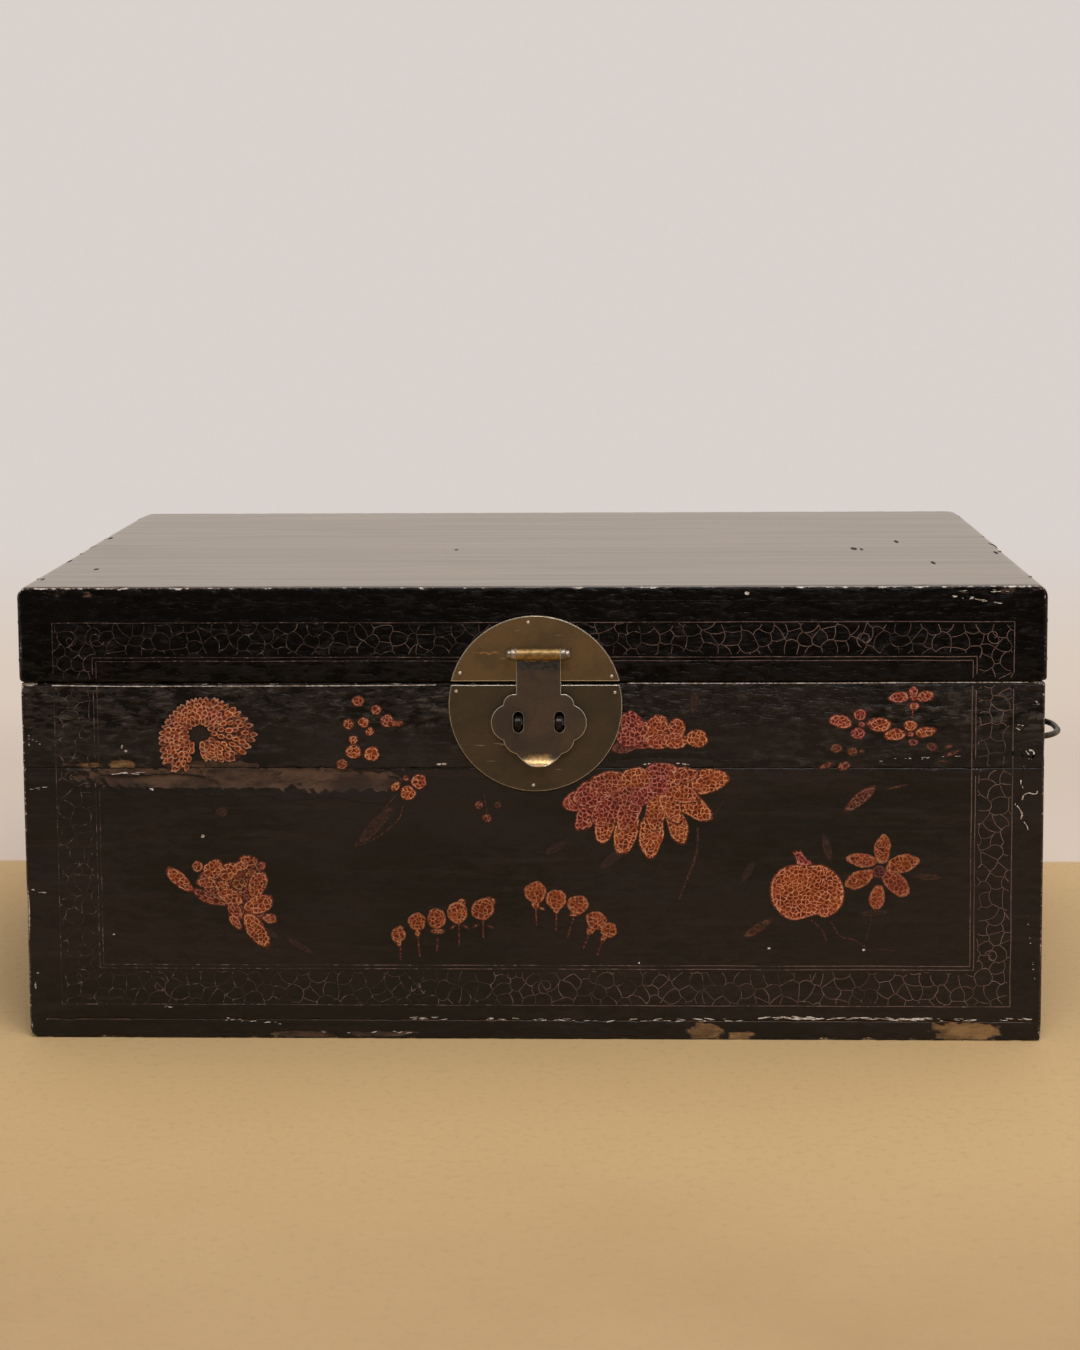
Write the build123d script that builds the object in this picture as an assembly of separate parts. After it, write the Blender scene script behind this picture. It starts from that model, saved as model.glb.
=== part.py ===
from build123d import *
import math
import os

# Lacquered lid-top chest. All sizes are in millimetres.
# Origin: centre of the underside. +Z up, +X to the right of someone facing the front, front towards -Y.

# Case
body_width = 708
body_depth = 458
body_height = 253
wall = 12
floor_thickness = 13.5
upper_board_height = 60
floor_plank_count = 3

# Lid
lid_height = 66.6
lid_wall = 12
lid_top_thickness = 10
lid_overhang = 1.4
seam_gap = 0.4
lid_plank_count = 2

# Rounded edges
corner_round = 3
rim_round = 1.8
top_round = 3
base_round = 1.5

# Inner lip that the lid closes over
lip_thickness = 7
lip_below_rim = 16
lip_above_rim = 8
lip_back_gap = 12
lip_bevel = 2

# Bamboo pegs and dowels
peg_radius = 1.5
peg_grip = 18
peg_edge_distance = 30
peg_spacing = 130
wood_gap = 0.05

# Brass sheet, nails and running fits
nail_head_radius = 1.35
nail_head_height = 0.7
nail_shank_radius = 0.6
nail_length = 5
nail_tip_length = 2
nail_tip_radius = 0.1
metal_gap = 0.05
side_play = 0.3

# Round lock plate, in two halves
plate_radius = 60
plate_thickness = 1.2
plate_centre_x = 4
upper_centre_drop = 13.4
lower_centre_drop = 16.4
upper_plate_setback = 1.2
lower_plate_setback = 1.9
plate_nail_inset = 4.4
plate_rim_bevel = 0.4
upper_nail_angles = (18.7, 94.7, 158.8)
lower_nail_angles = (9.5, 169.4, 268.2)

# Hasp: rolled barrel, neck, cloud-shaped leaf and lip
hasp_centre_x = 6.4
hasp_thickness = 1.6
hasp_back_gap = 0.3
hasp_barrel_rise = 20.4
hasp_pin_radius = 2.5
hasp_barrel_length = 31
neck_half_width = 15.4
shoulder_drop = 7.8
shoulder_half_width = 17.5
waist_half_width = 24.4
waist_drop = 15.4
ear_half_width = 33
ear_height = 24.6
foot_half_width = 15.5
foot_drop = 49.4
hasp_drop = 57.8
lobe_bulge = 2
lip_bend_radius = 6.8
lip_bend_height = 7.3
lip_bend_angle = 70
slot_width = 7
slot_height = 14.7

# Clenched eyes: lugs, hasp pin eyes and handle eyes
lug_spacing = 28.4
lug_drop = 27.2
lug_reach = 6.4
lug_bore_radius = 2.4
lug_outer_radius = 5
lug_width = 4
pin_eye_outer_radius = 4
pin_eye_width = 3
pin_knob_radius = 3.2
pin_knob_length = 3.2
shank_gap = 0.1
clench_length = 8
clench_thickness = 1.5

# Bail handles
bail_drop = 77.4
bail_rod_radius = 2.3
bail_standoff = 6
bail_reach = 41.2
bail_half_width = 42
bail_corner_radius = 36
bail_hook_radius = 4
bail_hook_length = 11
bail_eye_outer_radius = 4.6
bail_eye_width = 4
bail_eye_gap = 1
bail_plate_radius = 11
bail_plate_thickness = 1

# Rear hinges
hinge_offset = 200
hinge_width = 40
hinge_leaf_height = 24
hinge_thickness = 1.2
hinge_pin_radius = 1.75
hinge_pin_head_radius = 2.6
hinge_pin_head_length = 1
hinge_nail_inset = 5

# Derived places
board_joint_height = body_height - upper_board_height
body_side = body_width / 2
body_face = body_depth / 2
inner_side = body_side - wall
inner_face = body_face - wall
lid_side = body_side + lid_overhang
lid_front = -body_face - lid_overhang
lid_bottom = body_height + seam_gap
lid_top = lid_bottom + lid_height
rail_top = lid_top - lid_top_thickness
seam = body_height + seam_gap / 2
bail_height = seam - bail_drop
upper_plate_face = lid_front - plate_thickness
lower_plate_face = -body_face - plate_thickness
hasp_barrel_radius = hasp_pin_radius + metal_gap + hasp_thickness
hasp_back = upper_plate_face - hasp_back_gap
hasp_front = hasp_back - hasp_thickness
hasp_axis_y = hasp_back - hasp_barrel_radius
hasp_axis_z = seam + hasp_barrel_rise
lug_axis_y = lower_plate_face - lug_reach
lug_axis_z = seam - lug_drop
bail_eye_offset = bail_half_width - bail_hook_radius - bail_eye_gap - bail_eye_width / 2
hinge_barrel_radius = hinge_pin_radius + metal_gap + hinge_thickness
hinge_axis_y = body_face + hinge_barrel_radius


def block(low, high):
    """Box between two opposite corners."""
    size = [b - a for a, b in zip(low, high)]
    middle = [(a + b) / 2 for a, b in zip(low, high)]
    return Pos(*middle) * Box(*size)


def rod(start, direction, radius, length):
    """Round bar from a point along a direction."""
    return Plane(origin=start, z_dir=direction).location * Pos(0, 0, length / 2) * Cylinder(radius, length)


def ring(centre, direction, outer, bore, width):
    """Round ring centred on a point, with its bore along a direction."""
    return Plane(origin=centre, z_dir=direction).location * (Cylinder(outer, width) - Cylinder(bore, width))


def edges_at(solid, x=None, y=None, z=None):
    """Edges that lie in every plane given."""
    chosen = solid.edges()
    for axis, value in ((Axis.X, x), (Axis.Y, y), (Axis.Z, z)):
        if value is not None:
            chosen = chosen.filter_by_position(axis, value - 0.01, value + 0.01)
    return chosen


def rounded(solid, edges, radius):
    """The solid with the given edges rounded."""
    return fillet(edges, radius) if edges else solid


def spread(low, high, margin, spacing):
    """Evenly spaced places from low to high, the first and last a margin in from the ends."""
    count = max(2, round((high - low - 2 * margin) / spacing) + 1)
    step = (high - low - 2 * margin) / (count - 1)
    return [low + margin + i * step for i in range(count)]


# Pegs. Each function gives one group of bars, at the peg's own radius or at a hole's.


def corner_pegs(radius, side, front, thickness, low, high):
    """Pegs driven through the side boards into the ends of the front and back boards."""
    length = thickness + peg_grip
    return [
        rod((sign * side, end - math.copysign(thickness / 2, end), z), (-sign, 0, 0), radius, length)
        for sign in (-1, 1)
        for end in front
        for z in spread(low, high, peg_edge_distance / 2, peg_spacing / 2)
    ]


def body_corner_pegs(radius):
    """Corner pegs of the lower boards and of the upper boards."""
    faces = (-body_face, body_face)
    lower = corner_pegs(radius, body_side, faces, wall, floor_thickness, board_joint_height)
    upper = corner_pegs(radius, body_side, faces, wall, board_joint_height, body_height)
    return lower + upper


def lid_corner_pegs(radius):
    """Corner pegs of the lid's rails."""
    return corner_pegs(radius, lid_side, (lid_front, body_face), lid_wall, lid_bottom, rail_top)


def board_dowels(radius):
    """Upright dowels between each lower board and the upper board on it."""
    start, margin, step = board_joint_height - peg_grip, 2 * peg_edge_distance, 2 * peg_spacing
    middle_x, middle_y = body_side - wall / 2, body_face - wall / 2
    places = [(x, y) for y in (-middle_y, middle_y) for x in spread(-inner_side, inner_side, margin, step)]
    places += [(x, y) for x in (-middle_x, middle_x) for y in spread(-inner_face, inner_face, margin, step)]
    return [rod((x, y, start), (0, 0, 1), radius, 2 * peg_grip) for x, y in places]


def plank_edges(count, low, high):
    """Edges across the depth of a floor or a top made of equal planks."""
    return [low + (high - low) * i / count for i in range(count + 1)]


def plank_peg_places(side, middle_low, middle_high, edges):
    """Where upright pegs hold planks: along the front and back boards, and twice per plank at each side."""
    along = spread(-side, side, peg_edge_distance, peg_spacing)
    places = [(x, y) for y in (middle_low, middle_high) for x in along]
    for low, high in zip(edges, edges[1:]):
        for y in spread(low, high, 1.5 * peg_edge_distance, peg_spacing):
            places += [(-side, y), (side, y)]
    return places


def floor_pegs(radius):
    """Pegs driven up through the floor planks into the boards."""
    edges = plank_edges(floor_plank_count, -body_face, body_face)
    middle = body_face - wall / 2
    places = plank_peg_places(body_side - wall / 2, -middle, middle, edges)
    return [rod((x, y, 0), (0, 0, 1), radius, floor_thickness + peg_grip) for x, y in places]


def lid_top_pegs(radius):
    """Pegs driven down through the lid's planks into its rails."""
    edges = plank_edges(lid_plank_count, lid_front, body_face)
    front, back = lid_front + lid_wall / 2, body_face - lid_wall / 2
    places = plank_peg_places(lid_side - lid_wall / 2, front, back, edges)
    return [rod((x, y, lid_top), (0, 0, -1), radius, lid_top_thickness + peg_grip) for x, y in places]


# Nails


def nail():
    """Domed nail with its head above the XY plane and its pointed shank below."""
    cap = (nail_head_radius**2 + nail_head_height**2) / (2 * nail_head_height)
    above = block((-cap, -cap, 0), (cap, cap, cap))
    head = (Pos(0, 0, nail_head_height - cap) * Sphere(cap)) & above
    straight = nail_length - nail_tip_length
    tip = Cone(nail_tip_radius, nail_shank_radius, nail_tip_length)
    tip = Pos(0, 0, -straight - nail_tip_length / 2) * tip
    return head + rod((0, 0, 0), (0, 0, -1), nail_shank_radius, straight) + tip


def nail_holes(places, outward):
    """Clearance holes for nails at the given places."""
    inward = [-value for value in outward]
    return [rod(place, inward, nail_shank_radius + metal_gap, nail_length + metal_gap) for place in places]


def nails(places, outward):
    """Nails with their heads seated at the given places."""
    return [Plane(origin=place, z_dir=outward).location * nail() for place in places]


def plate_nail_places(centre_drop, angles, face):
    """Places around one half of the lock plate."""
    reach = plate_radius - plate_nail_inset
    return [
        (
            plate_centre_x + reach * math.cos(math.radians(angle)),
            face,
            seam - centre_drop + reach * math.sin(math.radians(angle)),
        )
        for angle in angles
    ]


def hinge_nail_places(direction):
    """Three places on each hinge leaf: two near the barrel, one near the free edge."""
    near = hinge_barrel_radius + hinge_nail_inset
    far = hinge_leaf_height - hinge_nail_inset
    reach = hinge_width / 2 - hinge_nail_inset
    face = body_face + hinge_thickness
    return [
        (centre + dx, face, seam + direction * dz)
        for centre in (-hinge_offset, hinge_offset)
        for dx, dz in ((-reach, near), (reach, near), (0, far))
    ]


# Clenched eyes


def eye(bore, outer, width, reach, thickness):
    """Split-pin eye: bore along X at the origin, shank along +Y, and both tails bent flat behind the wall.

    reach is the distance from the bore's axis to the wall, and thickness is the wall's.
    """
    head = ring((0, 0, 0), (1, 0, 0), outer, bore, width)
    half = width / 2
    back = reach + thickness
    shank = block((-half, (bore + outer) / 2, -half), (half, back + clench_thickness, half))
    tails = block((-half, back, -clench_length), (half, back + clench_thickness, clench_length))
    return head + shank + tails


def shank_hole(width, reach, depth):
    """Square hole for an eye's shank, through everything from the wall's face inwards."""
    half = width / 2 + shank_gap
    return block((-half, reach - depth, -half), (half, reach + depth, half))


def lug_locations():
    """Two lugs for a padlock, side by side on the front of the case."""
    return [Pos(hasp_centre_x + sign * lug_spacing / 2, lug_axis_y, lug_axis_z) for sign in (-1, 1)]


def pin_eye_locations():
    """Two eyes for the hasp's pin, one past each end of its barrel."""
    offset = hasp_barrel_length / 2 + side_play + pin_eye_width / 2
    return [Pos(hasp_centre_x + sign * offset, hasp_axis_y, hasp_axis_z) for sign in (-1, 1)]


def bail_eye_locations(side):
    """Two eyes for one handle. side is -1 for the left, 1 for the right."""
    x = side * (body_side + bail_standoff)
    return [Pos(x, sign * bail_eye_offset, bail_height) * Rot(0, 0, side * 90) for sign in (-1, 1)]


lug_wall = -body_face - lug_axis_y
pin_eye_wall = lid_front - hasp_axis_y
lugs = [
    place * eye(lug_bore_radius, lug_outer_radius, lug_width, lug_wall, wall)
    for place in lug_locations()
]
lug_holes = [place * shank_hole(lug_width, lug_wall, 2 * wall) for place in lug_locations()]
pin_eye_bore = hasp_pin_radius + metal_gap
pin_eyes = [
    place * eye(pin_eye_bore, pin_eye_outer_radius, pin_eye_width, pin_eye_wall, lid_wall)
    for place in pin_eye_locations()
]
pin_eye_holes = [
    place * shank_hole(pin_eye_width, pin_eye_wall, 2 * lid_wall)
    for place in pin_eye_locations()
]


def bail_eyes(side):
    """Both eyes of one handle."""
    bore = bail_rod_radius + metal_gap
    shape = eye(bore, bail_eye_outer_radius, bail_eye_width, bail_standoff, wall)
    return [place * shape for place in bail_eye_locations(side)]


def bail_eye_holes(side):
    """Holes for the shanks of one handle's eyes."""
    hole = shank_hole(bail_eye_width, bail_standoff, 2 * wall)
    return [place * hole for place in bail_eye_locations(side)]


# Case boards


def side_board(side, low, high, top_edge):
    """Board of one end of the case, over its full depth."""
    outer, inner = side * body_side, side * inner_side
    board = block((min(outer, inner), -body_face, low), (max(outer, inner), body_face, high))
    for face in (-body_face, body_face):
        board = rounded(board, edges_at(board, x=outer, y=face), corner_round)
    if top_edge:
        board = rounded(board, edges_at(board, z=high) - edges_at(board, x=inner), rim_round)
    return board - body_corner_pegs(peg_radius + wood_gap) - board_dowels(peg_radius + wood_gap)


def long_board(face, low, high, top_edge):
    """Front or back board of the case, between the end boards. face is -1 for the front, 1 for the back."""
    outer, inner = face * body_face, face * inner_face
    board = block((-inner_side, min(outer, inner), low), (inner_side, max(outer, inner), high))
    if top_edge:
        board = rounded(board, edges_at(board, y=outer, z=high), rim_round)
    return board - body_corner_pegs(peg_radius + wood_gap) - board_dowels(peg_radius + wood_gap)


def plank(low, high, bottom, top, side, ends):
    """Plank of the floor or of the lid's top, with its outer corners rounded.

    ends is where the corners are.
    """
    board = block((-side, low, bottom), (side, high, top))
    for x in (-side, side):
        for y in ends:
            board = rounded(board, edges_at(board, x=x, y=y), corner_round)
    return board


def outer_rim(board, height, joints):
    """Edges around a plank at one height, but not those at its joints with other planks."""
    rim = edges_at(board, z=height)
    for y in joints:
        rim = rim - edges_at(board, y=y)
    return rim


def floor_plank(low, high):
    """One plank of the floor, from low to high across the depth."""
    ends = [y for y in (low, high) if abs(y) == body_face]
    joints = [y for y in (low, high) if abs(y) != body_face]
    board = plank(low, high, 0, floor_thickness, body_side, ends)
    return rounded(board, outer_rim(board, 0, joints), base_round) - floor_pegs(peg_radius + wood_gap)


def lid_plank(low, high):
    """One plank of the lid's top, from low to high across the depth."""
    ends = [y for y in (low, high) if y in (lid_front, body_face)]
    joints = [y for y in (low, high) if y not in (lid_front, body_face)]
    board = plank(low, high, rail_top, lid_top, lid_side, ends)
    board = rounded(board, outer_rim(board, lid_top, joints), top_round)
    return board - lid_top_pegs(peg_radius + wood_gap)


def lid_side_rail(side):
    """End rail of the lid, over its full depth."""
    outer, inner = side * lid_side, side * (lid_side - lid_wall)
    board = block((min(outer, inner), lid_front, lid_bottom), (max(outer, inner), body_face, rail_top))
    for face in (lid_front, body_face):
        board = rounded(board, edges_at(board, x=outer, y=face), corner_round)
    board = rounded(board, edges_at(board, z=lid_bottom) - edges_at(board, x=inner), rim_round)
    return board - lid_corner_pegs(peg_radius + wood_gap) - lid_top_pegs(peg_radius + wood_gap)


def lid_long_rail(outer, inner):
    """Front or back rail of the lid, between the end rails."""
    reach = lid_side - lid_wall
    board = block((-reach, min(outer, inner), lid_bottom), (reach, max(outer, inner), rail_top))
    board = rounded(board, edges_at(board, y=outer, z=lid_bottom), rim_round)
    return board - lid_corner_pegs(peg_radius + wood_gap) - lid_top_pegs(peg_radius + wood_gap)


def lip_strip(low, high, outer_edge):
    """Strip of the inner lip, bevelled on top where the lid slides over it."""
    bottom, top = body_height - lip_below_rim, body_height + lip_above_rim
    strip = block((*low, bottom), (*high, top))
    return chamfer(edges_at(strip, z=top, **outer_edge), lip_bevel)


# Lock


def half_plate(centre_drop, face, low, high):
    """Half of the round lock plate, cut off straight beside the seam, with its rim bevelled."""
    disc = rod((plate_centre_x, face, seam - centre_drop), (0, -1, 0), plate_radius, plate_thickness)
    disc = chamfer(edges_at(disc, y=face - plate_thickness), plate_rim_bevel)
    reach = 2 * plate_radius
    keep = block((plate_centre_x - reach, face - reach, low), (plate_centre_x + reach, face + reach, high))
    return disc & keep


def hasp_outline():
    """Front outline of the hasp about its centre line.

    It has a neck, shoulder, ear and foot lobes, and a round end.
    """
    waist = (waist_half_width, -waist_drop)
    under_ear = (waist_half_width, -waist_drop - ear_height)
    foot = (foot_half_width, -foot_drop)
    shoulder = (shoulder_half_width, -shoulder_drop)
    neck = (neck_half_width, -shoulder_drop)
    top = (neck_half_width, hasp_barrel_rise)
    right = Curve() + [
        Line((0, hasp_barrel_rise), top),
        Line(top, neck),
        Line(neck, shoulder),
        SagittaArc(shoulder, waist, lobe_bulge),
        SagittaArc(waist, under_ear, ear_half_width - waist_half_width),
        SagittaArc(under_ear, foot, lobe_bulge),
    ]
    end = ThreePointArc(foot, (0, -hasp_drop), (-foot_half_width, -foot_drop))
    return make_face(right + end + mirror(right, about=Plane.YZ))


def hasp_profile():
    """Side profile of the hasp's sheet: straight down from the barrel, then bent forwards as a lip."""
    bend = seam - hasp_drop + lip_bend_height
    sheet = Pos((hasp_back + hasp_front) / 2, (bend + hasp_axis_z) / 2) * Rectangle(
        hasp_thickness, hasp_axis_z - bend
    )
    outer = lip_bend_radius + hasp_thickness
    far = 3 * outer
    slant = math.radians(lip_bend_angle)
    corner = (far * math.cos(slant), -far * math.sin(slant))
    wedge = make_face(Polyline((0, 0), (far, 0), corner, close=True))
    curl = (Circle(outer) - Circle(lip_bend_radius)) & wedge
    return sheet + Pos(hasp_front - lip_bend_radius, bend) * curl


def hasp():
    """Hasp with its rolled barrel, two slots for the lugs and a finger lip."""
    reach = 2 * ear_half_width
    sheet = extrude(Plane.YZ * hasp_profile(), amount=reach, both=True)
    front = Plane(origin=(0, hasp_back, seam), x_dir=(1, 0, 0), z_dir=(0, -1, 0))
    leaf = sheet & extrude(front * hasp_outline(), amount=reach, both=True)
    slot = Plane(origin=(0, hasp_back, lug_axis_z), x_dir=(1, 0, 0), z_dir=(0, -1, 0))
    upright = Rot(0, 0, 90) * SlotOverall(slot_height, slot_width)
    for sign in (-1, 1):
        opening = slot * Pos(sign * lug_spacing / 2, 0) * upright
        leaf -= extrude(opening, amount=reach, both=True)
    start = (-hasp_barrel_length / 2, hasp_axis_y, hasp_axis_z)
    barrel = rod(start, (1, 0, 0), hasp_barrel_radius, hasp_barrel_length)
    bore = rod((-reach, hasp_axis_y, hasp_axis_z), (1, 0, 0), hasp_pin_radius + metal_gap, 2 * reach)
    return Pos(hasp_centre_x, 0, 0) * (leaf + barrel - bore)


def hasp_pin():
    """Pin through the hasp's barrel and both eyes, with a round knob at each end."""
    half = hasp_barrel_length / 2 + 2 * side_play + pin_eye_width
    shaft = rod((-half, 0, 0), (1, 0, 0), hasp_pin_radius, 2 * half)
    knob = rod((half, 0, 0), (1, 0, 0), pin_knob_radius, pin_knob_length)
    knob = fillet(edges_at(knob, x=half + pin_knob_length), pin_knob_length / 2)
    pin = shaft + knob + mirror(knob, about=Plane.YZ)
    return Pos(hasp_centre_x, hasp_axis_y, hasp_axis_z) * pin


# Handles


def bail(side, angle):
    """Round rod bent into a handle, with both ends hooked in through the eyes.

    side is -1 for the left, 1 for the right. angle turns it up from hanging straight down.
    """
    end = bail_half_width - bail_hook_length
    path = FilletPolyline(
        (0, -end),
        (0, -bail_half_width),
        (bail_reach, -bail_half_width),
        (bail_reach, bail_half_width),
        (0, bail_half_width),
        (0, end),
        radius=[bail_hook_radius, bail_corner_radius, bail_corner_radius, bail_hook_radius],
    )
    section = Plane(origin=path @ 0, z_dir=path % 0) * Circle(bail_rod_radius)
    flat = sweep(section, path=path)
    place = Pos(side * (body_side + bail_standoff), 0, bail_height)
    return place * Rot(0, 90 - side * angle, 0) * flat


def bail_plate(side):
    """Two round plates under one handle's eyes."""
    plates = []
    for sign in (-1, 1):
        centre = (side * body_side, sign * bail_eye_offset, bail_height)
        disc = rod(centre, (side, 0, 0), bail_plate_radius, bail_plate_thickness)
        rim = edges_at(disc, x=side * (body_side + bail_plate_thickness))
        disc = chamfer(rim, bail_plate_thickness / 2)
        plates.append(disc - bail_eye_holes(side))
    return plates


# Rear hinges


def hinge_leaf(centre, direction, knuckles):
    """Leaf of a rear hinge. direction is 1 for the lid's leaf, -1 for the case's."""
    clear = hinge_barrel_radius + side_play
    low, high = sorted((seam + direction * clear, seam + direction * hinge_leaf_height))
    face = body_face + hinge_thickness
    leaf = block((centre - hinge_width / 2, body_face, low), (centre + hinge_width / 2, face, high))
    low, high = sorted((seam, seam + direction * (clear + hinge_thickness)))
    for start, end in knuckles:
        leaf += block((centre + start, body_face, low), (centre + end, face, high))
        leaf += rod((centre + start, hinge_axis_y, seam), (1, 0, 0), hinge_barrel_radius, end - start)
    start = (centre - hinge_width, hinge_axis_y, seam)
    bore = rod(start, (1, 0, 0), hinge_pin_radius + metal_gap, 2 * hinge_width)
    outward = (0, 1, 0)
    return leaf - bore - nail_holes(hinge_nail_places(direction), outward)


def hinge_pin(centre):
    """Headed pin of one rear hinge."""
    half = hinge_width / 2 + metal_gap
    pin = rod((centre - half, hinge_axis_y, seam), (1, 0, 0), hinge_pin_radius, 2 * half)
    for sign in (-1, 1):
        start = (centre + sign * half, hinge_axis_y, seam)
        pin += rod(start, (sign, 0, 0), hinge_pin_head_radius, hinge_pin_head_length)
    return pin


forwards = (0, -1, 0)
backwards = (0, 1, 0)
upper_nail_places = plate_nail_places(upper_centre_drop, upper_nail_angles, upper_plate_face)
lower_nail_places = plate_nail_places(lower_centre_drop, lower_nail_angles, lower_plate_face)
third = hinge_width / 3
case_knuckles = ((-hinge_width / 2, -third / 2 - side_play), (third / 2 + side_play, hinge_width / 2))
lid_knuckles = ((-third / 2, third / 2),)

parts = {}

# The case stands on its floor planks.
floor_edges = plank_edges(floor_plank_count, -body_face, body_face)
floor_names = ("front_floor_plank", "middle_floor_plank", "back_floor_plank")
for name, low, high in zip(floor_names, floor_edges, floor_edges[1:]):
    parts[name] = floor_plank(low, high)

for level, low, high in (
    ("lower", floor_thickness, board_joint_height),
    ("upper", board_joint_height, body_height),
):
    has_rim = level == "upper"
    front_holes = lug_holes + nail_holes(lower_nail_places, forwards)
    back_holes = nail_holes(hinge_nail_places(-1), backwards)
    parts[f"front_{level}_board"] = long_board(-1, low, high, has_rim) - front_holes
    parts[f"back_{level}_board"] = long_board(1, low, high, has_rim) - back_holes
    parts[f"left_{level}_board"] = side_board(-1, low, high, has_rim) - bail_eye_holes(-1)
    parts[f"right_{level}_board"] = side_board(1, low, high, has_rim) - bail_eye_holes(1)
for name in ("front", "back", "left", "right"):
    parts[f"{name}_lower_board"] -= floor_pegs(peg_radius + wood_gap)

parts["front_lip"] = lip_strip(
    (-inner_side, -inner_face), (inner_side, lip_thickness - inner_face), {"y": -inner_face}
)
side_lip_ends = (lip_thickness - inner_face, inner_face - lip_back_gap)
parts["left_lip"] = lip_strip(
    (-inner_side, side_lip_ends[0]), (lip_thickness - inner_side, side_lip_ends[1]), {"x": -inner_side}
)
parts["right_lip"] = mirror(parts["left_lip"], about=Plane.YZ)

parts["board_dowels"] = board_dowels(peg_radius)
parts["body_corner_pegs"] = body_corner_pegs(peg_radius)
parts["floor_pegs"] = floor_pegs(peg_radius)

# The lid is a frame of rails under planks.
parts["lid_front_rail"] = lid_long_rail(lid_front, lid_front + lid_wall)
parts["lid_front_rail"] -= pin_eye_holes + nail_holes(upper_nail_places, forwards)
parts["lid_back_rail"] = lid_long_rail(body_face, body_face - lid_wall)
parts["lid_back_rail"] -= nail_holes(hinge_nail_places(1), backwards)
parts["lid_left_rail"] = lid_side_rail(-1)
parts["lid_right_rail"] = lid_side_rail(1)
lid_edges = plank_edges(lid_plank_count, lid_front, body_face)
for name, low, high in zip(("lid_front_plank", "lid_back_plank"), lid_edges, lid_edges[1:]):
    parts[name] = lid_plank(low, high)
parts["lid_corner_pegs"] = lid_corner_pegs(peg_radius)
parts["lid_top_pegs"] = lid_top_pegs(peg_radius)

# Lock
upper_half = half_plate(upper_centre_drop, lid_front, seam + upper_plate_setback, lid_top)
lower_half = half_plate(lower_centre_drop, -body_face, 0, seam - lower_plate_setback)
parts["upper_lock_plate"] = upper_half - nail_holes(upper_nail_places, forwards) - pin_eye_holes
parts["lower_lock_plate"] = lower_half - nail_holes(lower_nail_places, forwards) - lug_holes
parts["upper_plate_nails"] = nails(upper_nail_places, forwards)
parts["lower_plate_nails"] = nails(lower_nail_places, forwards)
parts["lock_lugs"] = lugs
parts["hasp_pin_eyes"] = pin_eyes
parts["hasp_pin"] = hasp_pin()
parts["hasp"] = hasp()

# Handles: the left one hangs, the right one is held out level.
for name, side, angle in (("left", -1, 0), ("right", 1, 90)):
    parts[f"{name}_bail"] = bail(side, angle)
    parts[f"{name}_bail_eyes"] = bail_eyes(side)
    parts[f"{name}_bail_plates"] = bail_plate(side)

# Rear hinges
for name, centre in (("left", -hinge_offset), ("right", hinge_offset)):
    parts[f"{name}_hinge_case_leaf"] = hinge_leaf(centre, -1, case_knuckles)
    parts[f"{name}_hinge_lid_leaf"] = hinge_leaf(centre, 1, lid_knuckles)
    parts[f"{name}_hinge_pin"] = hinge_pin(centre)
parts["hinge_case_nails"] = nails(hinge_nail_places(-1), backwards)
parts["hinge_lid_nails"] = nails(hinge_nail_places(1), backwards)

os.makedirs("parts", exist_ok=True)
for name, shape in parts.items():
    solids = ShapeList(shape).solids() if isinstance(shape, list) else shape.solids()
    export_step(solids[0] if len(solids) == 1 else Compound(children=list(solids)), f"parts/{name}.step")
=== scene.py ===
import math
import random

import bpy
import numpy as np
from mathutils import Matrix, Vector, geometry, noise


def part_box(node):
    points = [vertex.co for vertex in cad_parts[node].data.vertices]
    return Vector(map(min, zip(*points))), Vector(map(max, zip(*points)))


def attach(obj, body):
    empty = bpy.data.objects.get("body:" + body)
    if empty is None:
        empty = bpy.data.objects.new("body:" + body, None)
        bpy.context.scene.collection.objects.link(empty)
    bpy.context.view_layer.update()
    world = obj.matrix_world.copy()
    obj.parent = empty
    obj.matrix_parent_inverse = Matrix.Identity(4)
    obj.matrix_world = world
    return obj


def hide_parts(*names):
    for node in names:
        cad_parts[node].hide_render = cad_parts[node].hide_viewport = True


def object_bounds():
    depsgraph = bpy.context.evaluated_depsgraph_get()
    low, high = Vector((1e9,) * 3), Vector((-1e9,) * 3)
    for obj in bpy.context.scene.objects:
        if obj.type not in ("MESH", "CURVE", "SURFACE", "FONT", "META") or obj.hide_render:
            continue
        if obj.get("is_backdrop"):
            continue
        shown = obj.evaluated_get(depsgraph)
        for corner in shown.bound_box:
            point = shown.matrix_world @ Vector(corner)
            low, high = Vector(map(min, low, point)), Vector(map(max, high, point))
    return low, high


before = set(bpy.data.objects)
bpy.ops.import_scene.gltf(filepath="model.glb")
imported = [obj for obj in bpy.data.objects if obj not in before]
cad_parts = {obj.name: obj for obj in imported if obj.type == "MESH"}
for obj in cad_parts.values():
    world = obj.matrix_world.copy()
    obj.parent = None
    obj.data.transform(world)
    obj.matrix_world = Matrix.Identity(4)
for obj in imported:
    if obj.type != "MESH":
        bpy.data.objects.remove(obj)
cad_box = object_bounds()
MM = 0.001

# ---------------------------------------------------------------- places on the chest, in mm

BODY_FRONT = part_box("front_lower_board")[0].y / MM
LID_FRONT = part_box("lid_front_rail")[0].y / MM
BODY_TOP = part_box("front_upper_board")[1].z / MM
BOARD_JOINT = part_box("front_lower_board")[1].z / MM
LID_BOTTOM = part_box("lid_front_rail")[0].z / MM
LID_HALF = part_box("lid_front_plank")[1].x / MM
FLAT_HALF = 349.0  # the front is flat this far from its middle, before its corners round off

# ---------------------------------------------------------------- the photograph's camera

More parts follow.
